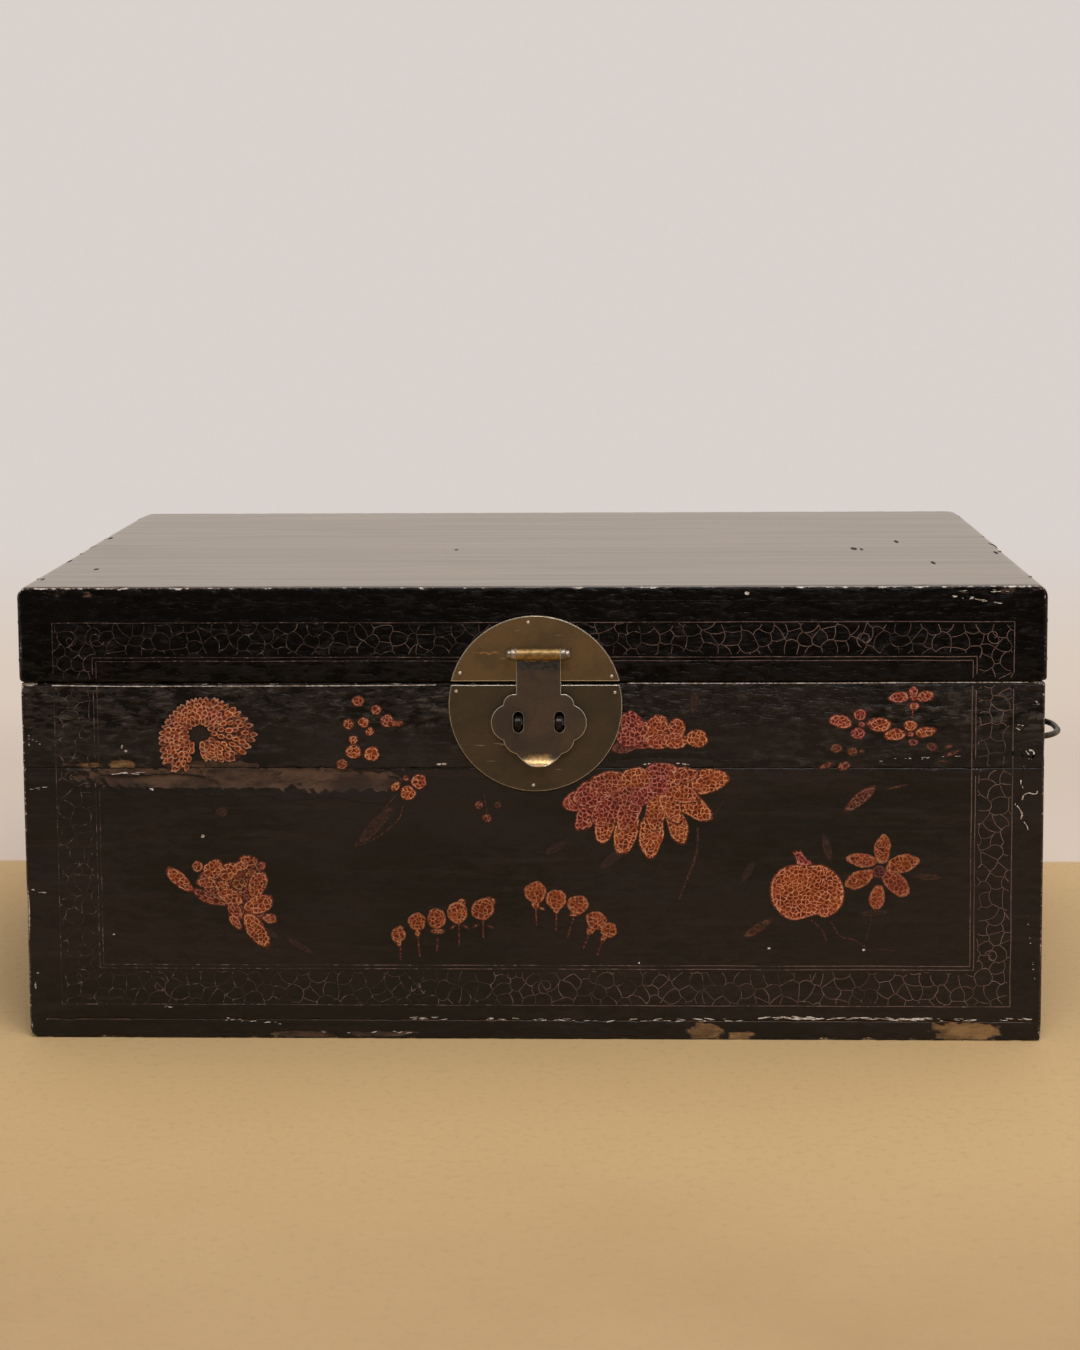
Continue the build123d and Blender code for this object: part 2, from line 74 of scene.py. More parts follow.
FRAME = (1080, 1350)  # the photograph's pixels
FOCAL = 2470.0  # in the same pixels
AXIS = (540.0, 480.5)  # where the optical axis meets the photograph
EYE = Vector((0.0647, -1.9094, 0.5582))
PITCH, YAW, ROLL = math.radians(5.617), math.radians(1.924), math.radians(0.406)
TURN = Matrix.Rotation(YAW, 3, "Z") @ Matrix.Rotation(-PITCH, 3, "X") @ Matrix.Rotation(ROLL, 3, "Y")
RIGHT, FORWARD, UP = TURN.col[0], TURN.col[1], TURN.col[2]


def on_front(u, v, front=BODY_FRONT):
    """The point (x, z), in mm, where the photograph's pixel (u, v) shows the plane y = front."""
    way = FORWARD + RIGHT * (u - AXIS[0]) / FOCAL + UP * (AXIS[1] - v) / FOCAL
    hit = EYE + way * ((front * MM - EYE.y) / way.y)
    return np.array((hit.x, hit.z)) / MM


def linked(name, data):
    """A new object of the scene."""
    made = bpy.data.objects.new(name, data)
    bpy.context.scene.collection.objects.link(made)
    return made


def surface(name, points, faces, materials, values=None):
    """A smooth mesh from points in mm, with a number for each point under each name of values."""
    mesh = bpy.data.meshes.new(name)
    mesh.from_pydata((np.array(points) * MM).tolist(), [], faces)
    for material in materials:
        mesh.materials.append(material)
    mesh.polygons.foreach_set("use_smooth", [True] * len(faces))
    for key, numbers in (values or {}).items():
        mesh.attributes.new(key, "FLOAT", "POINT").data.foreach_set("value", np.array(numbers, np.float32))
    return mesh


def wave(x, y, z, size=1):
    """Smooth noise round 0, with bumps about as long as size."""
    return noise.noise(Vector((x, y, z)) / size)


def scaled(colour, share):
    return tuple(share * c for c in colour)


# ---------------------------------------------------------------- materials


class Nodes:
    """A node tree. add returns the node that it makes, and the other helpers an output of theirs."""

    def __init__(self, tree):
        self.tree = tree

    def add(self, kind, *values, **settings):
        """A new node. values are for its first inputs in order; a dictionary has more by name or number."""
        made = self.tree.nodes.new("ShaderNode" + kind)
        for key, value in settings.items():
            setattr(made, key, value)
        for number, value in enumerate(values):
            pairs = value.items() if isinstance(value, dict) else [(number, value)]
            for key, given in pairs:
                self.put(made.inputs[key], given)
        return made

    def put(self, socket, value):
        if isinstance(value, bpy.types.NodeSocket):
            self.tree.links.new(value, socket)
        else:
            three = isinstance(value, tuple) and len(value) == 3 and socket.type == "RGBA"
            socket.default_value = (*value, 1) if three else value

    def calc(self, operation, a, b=0.0, clamp=False):
        return self.add("Math", a, b, 0.0, operation=operation, use_clamp=clamp).outputs[0]

    def times(self, a, b, clamp=False):
        return self.calc("MULTIPLY", a, b, clamp)

    def plus(self, a, b):
        return self.calc("ADD", a, b)

    def vector(self, operation, *values):
        return self.add("VectorMath", *values, operation=operation).outputs

    def step(self, value, low, high, out_low=0.0, out_high=1.0):
        """Smooth step of value between low and high."""
        values = (value, low, high, out_low, out_high)
        return self.add("MapRange", *values, interpolation_type="SMOOTHSTEP").outputs[0]

    def mix(self, share, a, b):
        return self.add("Mix", {"Factor": share, 6: a, 7: b}, data_type="RGBA").outputs[2]


class Paint(Nodes):
    """A node material with one Principled shader."""

    def __init__(self, name):
        self.material = bpy.data.materials.new(name)
        self.material.use_nodes = True
        super().__init__(self.material.node_tree)
        self.shader = self.tree.nodes["Principled BSDF"]
        self.place = self.add("TexCoord").outputs["Object"]
        self.x, self.y, self.z = self.add("SeparateXYZ", self.place).outputs

    def noise(self, scale, detail=3.0, rough=0.55, stretch=(1, 1, 1), twist=0.0):
        """Noise with about scale bumps a metre, as a number round 0.5."""
        place = self.place
        if stretch != (1, 1, 1):
            place = self.add("Mapping", place, {"Scale": stretch}).outputs[0]
        values = {"Scale": scale, "Detail": detail, "Roughness": rough, "Distortion": twist}
        return self.add("TexNoise", place, values).outputs["Fac"]

    def ragged(self, size, *kind):
        """Noise round 0 with a whole range of size."""
        return self.times(self.calc("SUBTRACT", self.noise(*kind), 0.5), size)

    def cells(self, scale, wobble):
        """Distance on the front to the lines of a net that has about scale meshes a metre."""
        flat = self.add("CombineXYZ", self.x, self.z).outputs[0]
        warp = self.add("TexNoise", flat, {"Scale": scale, "Detail": 1.0}).outputs["Color"]
        centred = self.vector("SUBTRACT", warp, (0.5, 0.5, 0.5))[0]
        moved = self.vector("ADD", flat, self.vector("SCALE", centred, {"Scale": wobble})[0])[0]
        kind = {"voronoi_dimensions": "2D", "feature": "DISTANCE_TO_EDGE"}
        return self.add("TexVoronoi", moved, {"Scale": scale}, **kind).outputs["Distance"]

    def edges(self, reach):
        """A normal softened within reach metres of sharp edges, and a share: 1 at those edges, 0 away."""
        soft = self.add("Bevel", reach, samples=8).outputs[0]
        true = self.add("NewGeometry").outputs["Normal"]
        return soft, self.step(self.vector("DOT_PRODUCT", soft, true)["Value"], 0.985, 0.93)

    def near(self, across, along, places, sharp=0.8):
        """1 inside each ellipse (a, b, half width, half height) of places, 0 outside."""
        found = None
        for a, b, wide, tall in places:
            da = self.calc("DIVIDE", self.calc("SUBTRACT", across, a), wide)
            db = self.calc("DIVIDE", self.calc("SUBTRACT", along, b), tall)
            inside = self.step(self.plus(self.times(da, da), self.times(db, db)), 1.25, sharp)
            found = inside if found is None else self.calc("MAXIMUM", found, inside)
        return found

    def bump(self, height, depth, strength=1.0, under=None):
        """Bump of a height between 0 and 1 that stands for depth metres."""
        values = {"Height": height, "Distance": depth, "Strength": strength}
        if under is not None:
            values["Normal"] = under
        return self.add("Bump", values).outputs[0]

    def attribute(self, name):
        return self.add("Attribute", attribute_name=name).outputs["Fac"]

    def done(self, **inputs):
        for key, value in inputs.items():
            self.put(self.shader.inputs[key.replace("_", " ")], value)
        return self.material

    def fleck(self):
        """How far the lacquer is worn off at an edge, with a ragged outline."""
        return self.plus(self.attribute("wear"), self.ragged(2.4, 420, 5, 0.7, (0.5, 0.5, 1)))


# The palest worn edges: the lacquer's pale ground, with a painted highlight along the rounded edge.
PALE_FLECK_AND_GLINT = (0.58, 0.53, 0.49)


def lacquer(name, dark, brown, glint, wrinkles, specular, low=None, calm=None):
    """Old black lacquer on wood: brown patches, ripples along the boards with painted shade in their troughs
    and painted highlights on their tops, flecks where edges are worn, the palest with a painted highlight.

    dark, brown and glint are the colours of the ground, of patches and of the painted highlights on the
    ripples' tops and in fine specks. low is (z, colour) of a paler band under a height in metres, and calm is
    (low z, high z, share) where the ripples fade downwards. The boards carry how worn and how bare, 0 to 1,
    each of their points is."""
    p = Paint(name)
    ripple = p.noise(270, 3, 0.62, (0.33, 0.33, 1), 0.5)
    colour = p.mix(p.step(p.noise(5, 4, 0.6, (1, 1, 2.2)), 0.4, 0.62), dark, brown)
    colour = p.mix(p.step(p.noise(150, 4, 0.6, (0.06, 1, 1)), 0.52, 0.75, 0, 0.6), colour, scaled(brown, 1.6))
    if low:
        colour = p.mix(p.step(p.z, low[0] + 0.004, low[0] - 0.004), colour, low[1])
    fade = p.step(p.z, *calm, 1.0) if calm else 1.0
    zone = p.times(p.step(p.noise(9, 3, 0.5, (0.6, 1, 1.6)), 0.36, 0.58, 0.35, 1.0), fade)
    front = p.step(p.y, -0.226, -0.19, 1.0, 0.35)
    share = p.times(p.times(zone, front), wrinkles, clamp=True)
    # Painted shade in the ripples' troughs, painted highlights on their tops, and fine specks of painted
    # glint.
    colour = p.mix(p.times(p.step(ripple, 0.51, 0.42), share), colour, scaled(dark, 0.1))
    colour = p.mix(p.times(p.step(ripple, 0.55, 0.68), share), colour, glint)
    colour = p.mix(p.step(p.noise(900, 2, 0.5, (0.5, 1, 1)), 0.66, 0.74, 0, 0.5), colour, glint)
    fleck = p.fleck()
    ground = p.step(fleck, 0.5, 0.8)
    colour = p.mix(ground, colour, (0.06, 0.035, 0.024))
    # Pale flecks at the most worn edges: pale ground and a painted highlight along the edge.
    colour = p.mix(p.step(fleck, 0.86, 1.05), colour, PALE_FLECK_AND_GLINT)
    torn = p.ragged(0.9, 140, 4, 0.65, (0.5, 1, 1))
    under = p.step(p.plus(p.attribute("bare"), torn), 0.35, 0.48)
    stain = p.step(p.noise(75, 5, 0.7, (0.4, 1, 1)), 0.38, 0.62)
    colour = p.mix(under, colour, p.mix(stain, (0.038, 0.023, 0.017), (0.105, 0.06, 0.041)))
    fine = p.ragged(0.5, 520, 4, 0.65, (0.5, 1, 1))
    opened = p.step(p.plus(p.attribute("bare"), p.plus(p.times(torn, 0.6), fine)), 0.72, 0.78)
    colour = p.mix(opened, colour, p.mix(stain, (0.11, 0.062, 0.03), (0.3, 0.18, 0.08)))
    rise = p.plus(p.times(p.times(ripple, wrinkles), fade), p.times(p.noise(60, 2, 0.5, (0.3, 0.6, 1)), 0.6))
    lost = p.calc("MAXIMUM", ground, under)
    normal = p.bump(lost, -0.0003, 0.5, p.bump(rise, 0.0016, 0.8))
    gloss = p.plus(p.step(p.noise(30, 3, 0.6, (0.2, 1, 1)), 0.3, 0.7, 0.25, 0.35), p.times(lost, 0.35))
    return p.done(Base_Color=colour, Roughness=gloss, Normal=normal, Specular_IOR_Level=specular)


# Worm holes and dents in the lid's top, painted near-black as the shade inside them.
WORM_HOLES_AND_SHADE = [  # x, y, half width and half length, in m
    (0.241, -0.03, 0.0024, 0.008), (0.2465, -0.034, 0.0012, 0.006), (0.278, 0.013, 0.0016, 0.0085),
    (0.291, -0.113, 0.0015, 0.008), (0.345, -0.056, 0.0014, 0.008), (0.3545, -0.062, 0.0016, 0.008),
    (-0.3186, -0.137, 0.0017, 0.005), (-0.3455, -0.19, 0.0013, 0.005), (-0.349, -0.09, 0.0016, 0.008),
    (-0.063, -0.03, 0.0016, 0.004), (-0.347, 0.05, 0.0014, 0.007),
]


def top_lacquer():
    """The lid's top: rubbed lacquer with a thin polish, so that a low view sees the room in it."""
    p = Paint("polished_top")
    streaks = p.noise(95, 4, 0.6, (0.045, 1, 1), 0.3)
    cloud = p.noise(7, 3, 0.6, (0.5, 1, 1))
    colour = p.mix(p.step(cloud, 0.35, 0.65), (0.034, 0.026, 0.019), (0.052, 0.038, 0.026))
    colour = p.mix(p.step(streaks, 0.5, 0.72, 0, 0.5), colour, (0.016, 0.012, 0.009))
    fleck = p.fleck()
    colour = p.mix(p.step(fleck, 0.45, 0.75), colour, (0.035, 0.022, 0.017))
    # Pale flecks at worn edges: pale ground and a painted highlight along the edge.
    colour = p.mix(p.step(fleck, 0.86, 1.05), colour, PALE_FLECK_AND_GLINT)
    hole_shade = p.near(p.x, p.y, WORM_HOLES_AND_SHADE)
    # Painted shade: the holes are near-black and lose their polish.
    colour = p.mix(hole_shade, colour, (0.004, 0.003, 0.003))
    normal = p.bump(p.plus(streaks, p.times(p.noise(500, 2), 0.2)), 0.0002, 0.09)
    rough = p.plus(p.step(streaks, 0.35, 0.7, 0.3, 0.42), p.times(hole_shade, 0.5))
    return p.done(Base_Color=colour, Roughness=rough, Normal=p.bump(hole_shade, -0.002, 1.0, normal),
                  Specular_IOR_Level=0.5, Coat_Weight=p.calc("SUBTRACT", 1.0, hole_shade), Coat_Roughness=0.32,
                  Coat_IOR=1.6, Coat_Tint=(1.0, 0.93, 0.84))


def bare_wood(name, light, dark, stretch=(0.05, 1, 1)):
    """Planed wood with rings and pores along one axis."""
    p = Paint(name)
    rings = p.noise(38, 5, 0.6, stretch, 1.2)
    pores = p.noise(420, 3, 0.6, stretch)
    colour = p.mix(p.step(rings, 0.35, 0.65), dark, light)
    colour = p.mix(p.step(pores, 0.56, 0.7, 0, 0.55), colour, scaled(dark, 0.4))
    colour = p.mix(p.step(p.noise(7, 3, 0.6), 0.45, 0.75, 0, 0.4), colour, scaled(dark, 0.6))
    return p.done(Base_Color=colour, Roughness=p.step(pores, 0.3, 0.7, 0.6, 0.85),
                  Normal=p.bump(p.plus(rings, pores), 0.0004, 0.5), Specular_IOR_Level=0.3)


def brass(name, face, patina, edge, rough, tones=(), shade=(), bright=()):
    """Sheet brass: blotches of patina on the faces, scratches, and rubbed edges that are also painted pale as
    a highlight.

    tones are (low z, high z, colour), in metres. shade is (x, z, half width, half height) of places painted
    near-black as shade, and bright the same with a colour, of places painted brighter: rubbed brass, and
    painted highlights."""
    p = Paint(name)
    soft, rim = p.edges(0.0011)
    blotch = p.noise(40, 5, 0.6, (1, 1, 1), 0.5)
    fine = p.noise(600, 3, 0.6)
    scratch = p.noise(420, 2, 0.5, (0.1, 1, 1), 0.4)
    colour = p.mix(p.step(blotch, 0.36, 0.66), face, patina)
    colour = p.mix(p.step(fine, 0.5, 0.7, 0, 0.35), colour, scaled(patina, 0.7))
    colour = p.mix(p.step(scratch, 0.69, 0.76, 0, 0.25), colour, edge)
    # Painted shade: near-black where the hasp's slots look onto the plate.
    if shade:
        colour = p.mix(p.near(p.x, p.z, shade), colour, (0.006, 0.005, 0.005))
    uneven = p.ragged(0.008, 150, 3)
    height = p.plus(p.z, uneven)
    places = [(p.near(p.plus(p.x, uneven), height, [spot], 0.5), tone) for *spot, tone in bright]
    places += [(p.times(p.step(height, low, low + 0.0012), p.step(height, high + 0.0012, high)), tone)
               for low, high, tone in tones]
    for inside, tone in places:
        colour = p.mix(inside, colour, p.mix(p.step(p.noise(380, 3), 0.4, 0.66), tone, scaled(tone, 0.6)))
    # Painted highlight on rubbed rims: worn brass in the pale edge colour, less metallic so that it stays
    # bright under any light.
    rubbed = p.times(rim, p.step(p.noise(300, 2), 0.2, 0.45, 0.5, 1.0))
    colour = p.mix(rubbed, colour, edge)
    roughness = p.plus(p.step(blotch, 0.3, 0.7, rough - 0.06, rough + 0.1), p.times(rim, 0.3 - rough))
    normal = p.bump(p.plus(blotch, p.times(fine, 0.3)), 0.0005, 0.35, soft)
    metal = p.calc("SUBTRACT", 1.0, p.times(rubbed, 0.6))
    return p.done(Base_Color=colour, Metallic=metal, Roughness=roughness, Normal=normal)


def dark_metal(name, base, light, rough):
    """Cast or wrought metal with worn high places."""
    p = Paint(name)
    soft, rim = p.edges(0.0007)
    blotch = p.noise(180, 4, 0.65)
    colour = p.mix(p.step(blotch, 0.4, 0.68), base, light)
    colour = p.mix(p.times(rim, 0.6), colour, tuple(min(1.0, c) for c in scaled(light, 1.5)))
    return p.done(Base_Color=colour, Metallic=0.9, Roughness=p.step(blotch, 0.3, 0.7, rough + 0.12, rough),
                  Normal=p.bump(p.noise(500, 3, 0.6), 0.0004, 0.5, soft))


BODY_LACQUER = lacquer("body_lacquer", (0.0092, 0.0078, 0.0068), (0.0165, 0.0117, 0.011),
                       (0.022, 0.017, 0.016), 0.3, 0.25)
UPPER_LACQUER = lacquer("upper_board_lacquer", (0.0135, 0.0109, 0.0101), (0.0205, 0.0155, 0.0143),
                        (0.06, 0.05, 0.045), 1.5, 0.18, calm=(0.214, 0.232, 0.3))
LID_LACQUER = lacquer("lid_lacquer", (0.0012, 0.0011, 0.0014), (0.0028, 0.0022, 0.0026),
                      (0.0115, 0.0098, 0.0102), 1.3, 0.09, low=(0.2695, (0.0066, 0.0054, 0.0048)))
TOP_LACQUER = top_lacquer()
INSIDE = bare_wood("inside_wood", (0.2, 0.11, 0.055), (0.115, 0.058, 0.028))
LIP_WOOD = bare_wood("lip_wood", (0.24, 0.14, 0.07), (0.15, 0.078, 0.038))
BAMBOO = bare_wood("bamboo", (0.42, 0.28, 0.13), (0.26, 0.16, 0.07), (1, 0.05, 1))
UPPER_BRASS = brass("upper_plate_brass", (0.208, 0.143, 0.076), (0.15, 0.105, 0.06), (0.88, 0.81, 0.68), 0.5,
                    bright=[(-0.0285, 0.2742, 0.0095, 0.0009, (0.4, 0.24, 0.1))])
# The lower plate's shade spots are painted shadow behind the hasp's slots, round the lugs.
LOWER_BRASS = brass("lower_plate_brass", (0.104, 0.081, 0.056), (0.08, 0.065, 0.046), (0.8, 0.74, 0.62), 0.52,
                    shade=[(x, 0.226, 0.0045, 0.0085) for x in (-0.0078, 0.0206)])
# On the hasp: a bluish-grey band under the barrel, tarnish with painted shade from the barrel; the barrel in
# worn bright brass; and the lip at the bottom, rubbed brass with a painted highlight where it turns up to the
# light.
HASP_BRASS = brass("hasp_brass", (0.128, 0.101, 0.084), (0.088, 0.072, 0.063), (0.6, 0.54, 0.45), 0.45,
                   tones=[(0.262, 0.2705, (0.085, 0.087, 0.094)), (0.2685, 0.2795, (0.32, 0.208, 0.088))],
                   bright=[(0.0064, 0.19, 0.0178, 0.0135, (0.66, 0.44, 0.21))])
PIN_BRASS = dark_metal("pin_brass", (0.16, 0.13, 0.105), (0.42, 0.35, 0.28), 0.32)
NAIL_BRASS = dark_metal("nail_brass", (0.55, 0.47, 0.36), (0.85, 0.78, 0.66), 0.25)
# The lugs are dark iron, made near-black as painted shade in the hasp's slots.
LUG_METAL_AND_SHADE = dark_metal("lug_metal_and_shade", (0.012, 0.01, 0.01), (0.03, 0.026, 0.024), 0.22)
OLD_METAL = dark_metal("old_metal", (0.05, 0.042, 0.036), (0.14, 0.115, 0.09), 0.38)

# ---------------------------------------------------------------- boards with worn edges


def stops(low, high, step):
    """Places along one side of a board, dense near both ends, in mm."""
    near = [0, 0.35, 0.8, 1.4, 2.2, 3.2, 4.6, 6.4, 9]
    near = [n for n in near if n < (high - low) / 2 - 0.2]
    start, end = low + near[-1], high - near[-1]
    count = max(1, math.ceil((end - start) / step))
    middle = [start + (end - start) * i / count for i in range(1, count)]
    return np.array([low + n for n in near] + middle + [high - n for n in reversed(near)])


def grid_box(lines):
    """Points, faces and each face's side, such as "-y", of a box with lines at places along each axis."""
    index, points, faces, sides = {}, [], [], []

    def corner(key):
        if key not in index:
            index[key] = len(points)
            points.append([line[n] for line, n in zip(lines, key)])
        return index[key]

    for axis in range(3):
        u, v = (axis + 1) % 3, (axis + 2) % 3
        for side in (0, 1):
            for i in range(len(lines[u]) - 1):
                for j in range(len(lines[v]) - 1):
                    quad = []
                    for a, b in ((i, j), (i + 1, j), (i + 1, j + 1), (i, j + 1)):
                        at = {axis: side * (len(lines[axis]) - 1), u: a, v: b}
                        quad.append(corner((at[0], at[1], at[2])))
                    faces.append(quad if side else quad[::-1])
                    sides.append("-+"[side] + "xyz"[axis])
    return np.array(points), faces, sides


CHIP_LENGTH = 9.0  # about how long the chips of a worn edge are, in mm
CHIP_DEPTH = 2.2  # what a deep chip adds to the edge's radius, in mm


def chipping(points, worn, seed):
    """How much each point of the worn edges is chipped, from 0 to about 1."""
    rough = np.zeros(len(points))
    for n in np.nonzero(worn > 0)[0]:
        q = Vector(points[n] / CHIP_LENGTH) + Vector((seed * 7.1, 0, 0))
        rough[n] = max(0.0, noise.noise(q) - 0.12) * 2.2 + max(0.0, noise.noise(q * 3.1) - 0.25) * 0.9
    return rough


def rounded(p, low, high, edges, rough):
    """The points of a box from low to high after its edges are rounded, with a larger radius at chips."""
    away = {"-": np.abs(p - low), "+": np.abs(p - high)}
    moved = p.copy()
    for edge, (radius, _) in sorted(edges.items(), key=lambda item: "z" not in item[0]):
        if not radius:
            continue
        axes = ["xyz".index(edge[n]) for n in (1, 3)]
        way = np.array([-1 if edge[n] == "-" else 1 for n in (0, 2)])
        radius = np.minimum(radius + CHIP_DEPTH * rough, (high - low)[axes].min() - 0.3)[:, None]
        source = p if "z" in edge else moved
        centre = np.where(way < 0, low[axes], high[axes]) - way * radius
        out = (source[:, axes] - centre) * way
        curved = (out > 0).all(axis=1)
        out *= (out.max(axis=1) / np.maximum(np.hypot(*out.T), 1e-9))[:, None]
        shift = centre + out * way - source[:, axes]
        if axes == [1, 2]:
            # Towards an end that is rounded too, the two shifts would add up.
            for face in "-+":
                along = edges.get(face + "x" + edge[2:], (0, 0))[0]
                if along > radius.min():
                    shift *= np.clip(0.3 + 0.7 * away[face][:, :1] / along, 0, 1)
        for n, axis in enumerate(axes):
            moved[curved, axis] += shift[curved, n]
    return moved


def worn_board(node, inner, seed, edges, step=4.0, coarse=16.0, spots=(), reach=2.8, ends=0.0):
    """A board in a CAD node's place, with rounded edges that are chipped and rubbed.

    inner names the face of bare wood. edges maps an edge, such as "-y+z", to its radius in mm and how worn
    it is, 0 to 1. The mesh has lines every step mm along the board and every coarse mm across. spots are
    (x, z, half width, half height, depth, bare) on the front. Wear runs about reach mm in from an edge, and
    is stronger by ends at the left and right."""
    name = f"chest_{node[:-6]}" if node.endswith("_board") else f"{node}_worn"
    body = "lid" if node.startswith("lid") else "chest"
    skin = LID_LACQUER if body == "lid" else UPPER_LACQUER if "upper" in node else BODY_LACQUER
    polished = body == "lid" and "plank" in node
    low, high = (np.array(c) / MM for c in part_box(node))
    long_axis = int(np.argmax(high - low))
    p, faces, sides = grid_box([stops(low[a], high[a], step if a == long_axis else coarse) for a in range(3)])
    worn = np.zeros(len(p))
    for edge, (_, amount) in edges.items():
        wall = {"-": low, "+": high}
        axes = {n: "xyz".index(edge[n + 1]) for n in (0, 2)}
        da, db = (np.abs(p[:, axis] - wall[edge[n]][axis]) for n, axis in axes.items())
        worn = np.maximum(worn, amount * np.clip(1.25 - np.hypot(da, db) / reach, 0, 1))
    worn *= 1 + ends * ((p[:, 0] / LID_HALF) ** 2 - 0.4)
    rough = chipping(p, worn, seed)
    moved = rounded(p, low, high, edges, rough)
    bare = np.zeros(len(p))
    for x, z, wide, tall, depth, amount in spots:
        inside = 1.25 - (((p[:, 0] - x) / wide) ** 4 + ((p[:, 2] - z) / tall) ** 4) ** 0.25
        for n in np.nonzero(inside > -0.3)[0]:
            inside[n] += 0.5 * wave(p[n][0] / 6, p[n][2] / 4, seed)
        share = np.clip(inside * (6 if amount > 0.9 else 2.5), 0, 1) * (p[:, 1] < low[1] + 1.5)
        bare = np.maximum(bare, share * amount)
        moved[:, 1] += np.where(p[:, 1] < low[1] + 0.2, share * depth, 0)
    worn = np.clip(worn * (0.75 + 0.6 * rough), 0, 1.2)
    materials = [skin, INSIDE, TOP_LACQUER if polished else BODY_LACQUER]
    mesh = surface(name, moved, faces, materials, {"wear": worn, "bare": bare})
    picks = [1 if side == inner else 2 if polished and side == "+z" else 0 for side in sides]
    mesh.polygons.foreach_set("material_index", picks)
    board = linked(name, mesh)
    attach(board, body)
    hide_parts(node)


CORNER, RIM, TOP, BASE, CRACK = 3.0, 1.6, 3.0, 1.5, 0.7  # radii of edges, in mm
# Spots where the wood shows or the lacquer is scuffed, as worn_board takes them.
STRIP = [(-205, 186, 108, 8, 0.4, 0.54), (-130, 184, 40, 8, 0.4, 0.55), (-275, 189, 36, 4, 0.4, 0.54)]
UPPER_CHIPS = [
    (-284, 195.3, 8.5, 3, 0.7, 1.0), (-308, 194.5, 9, 2, 0.4, 0.75), (-213, 195.5, 24, 2.4, 0.2, 0.6),
]
BASE_CHIPS = [
    (121, 6, 9.5, 5, 0.6, 1.0), (146, 3, 8, 2.6, 0.5, 1.0), (301, 6.5, 20, 5.5, 0.6, 1.0),
    (-160, 3, 22, 2.5, 0.4, 0.5), (-105, 4, 26, 2, 0.4, 0.5),
]
LID_SCUFFS = [(-332, 315, 14, 3.0, 0.4, 0.34), (-295, 315, 22, 2.4, 0.3, 0.3), (318, 316, 26, 2.5, 0.3, 0.35)]

worn_board("front_lower_board", "+y", 1, {"-y+z": (CRACK, 0.48), "-y-z": (0.8, 0.4)}, 3, 4, STRIP)
worn_board("front_upper_board", "+y", 2, {"-y+z": (2.2, 0.75), "-y-z": (CRACK, 0.45)}, 3, 8, UPPER_CHIPS, 1.5)
worn_board("back_lower_board", "-y", 3, {"+y+z": (CRACK, 0.4), "+y-z": (0.8, 0.6)})
worn_board("back_upper_board", "-y", 4, {"+y+z": (RIM, 0.8), "+y-z": (CRACK, 0.3)})
for side, out, inner, seed in (("left", "-x", "+x", 5), ("right", "+x", "-x", 7)):
    worn_board(f"{side}_lower_board", inner, seed, {
        out + "-y": (CORNER, 0.95), out + "+y": (CORNER, 0.7), out + "+z": (CRACK, 0.4), "-y+z": (CRACK, 0),
        "+y+z": (CRACK, 0), out + "-z": (0, 0.6), "-y-z": (0, 0.4)})
    worn_board(f"{side}_upper_board", inner, seed + 1, {
        out + "-y": (CORNER, 1.0), out + "+y": (CORNER, 0.7), out + "+z": (2.4, 0.8), "-y+z": (RIM, 1.1),
        "+y+z": (RIM, 0), out + "-z": (CRACK, 0.3), "-y-z": (CRACK, 0), "+y-z": (CRACK, 0)})
    worn_board(f"lid_{side}_rail", inner, seed + 10, {
        out + "-y": (6.5, 0.75), out + "+y": (9, 0.7), out + "-z": (2.4, 0.5), "-y-z": (RIM, 0.4),
        "+y-z": (RIM, 0)})
worn_board("lid_front_rail", "+y", 21, {"-y-z": (RIM, 0.4)}, 3, 8)
worn_board("lid_back_rail", "-y", 22, {"+y-z": (RIM, 0.4)})
worn_board("lid_front_plank", "-z", 23, {
    "-y+z": (TOP, 0.95), "-x+z": (8, 0.8), "+x+z": (9, 0.8), "-x-y": (6, 0.8), "+x-y": (7, 0.85)},
    3, 20, LID_SCUFFS, 2.4, 0.4)
worn_board("lid_back_plank", "-z", 24, {
    "+y+z": (TOP, 0.7), "-x+z": (7, 0.8), "+x+z": (7, 0.8), "-x+y": (14, 0.7), "+x+y": (12, 0.7)}, coarse=20)
worn_board("front_floor_plank", "+z", 31, {
    "-y-z": (BASE, 0.6), "-x-z": (7.5, 0.6), "+x-z": (4, 0.6), "-x-y": (CORNER, 0.7), "+x-y": (CORNER, 0.7),
    "-y+z": (0.6, 0.35)}, 3, spots=BASE_CHIPS)
worn_board("middle_floor_plank", "+z", 32, {"-x-z": (4.5, 0.6), "+x-z": (3.5, 0.6)})
worn_board("back_floor_plank", "+z", 33, {
    "+y-z": (BASE, 0.6), "-x-z": (4.5, 0.6), "+x-z": (3.5, 0.6), "-x+y": (CORNER, 0.7),
    "+x+y": (CORNER, 0.7)})

# ---------------------------------------------------------------- CAD nodes that keep their shape

FINISHES = {
    "upper_lock_plate": UPPER_BRASS, "lower_lock_plate": LOWER_BRASS, "hasp": HASP_BRASS,
    "hasp_pin": PIN_BRASS, "hasp_pin_eyes": PIN_BRASS, "upper_plate_nails": NAIL_BRASS,
    "lower_plate_nails": NAIL_BRASS, "lock_lugs": LUG_METAL_AND_SHADE, "front_lip": LIP_WOOD, "left_lip": LIP_WOOD,
    "right_lip": LIP_WOOD,
}
for name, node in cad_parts.items():
    if node.hide_render:
        continue
    wooden = "pegs" in name or "dowels" in name
    node.data.materials.clear()
    node.data.materials.append(FINISHES.get(name, BAMBOO if wooden else OLD_METAL))
    for face in node.data.polygons:
        face.material_index = 0
        face.use_smooth = True
    node.data.set_sharp_from_angle(angle=math.radians(28))
    if "pegs" in name:
        # Their ends lie in the boards' faces, so a hair less all round keeps the two surfaces apart.
        shrink = node.modifiers.new("inset", "DISPLACE")
        shrink.strength, shrink.mid_level = -0.0002, 0.0

# ---------------------------------------------------------------- painting on the front


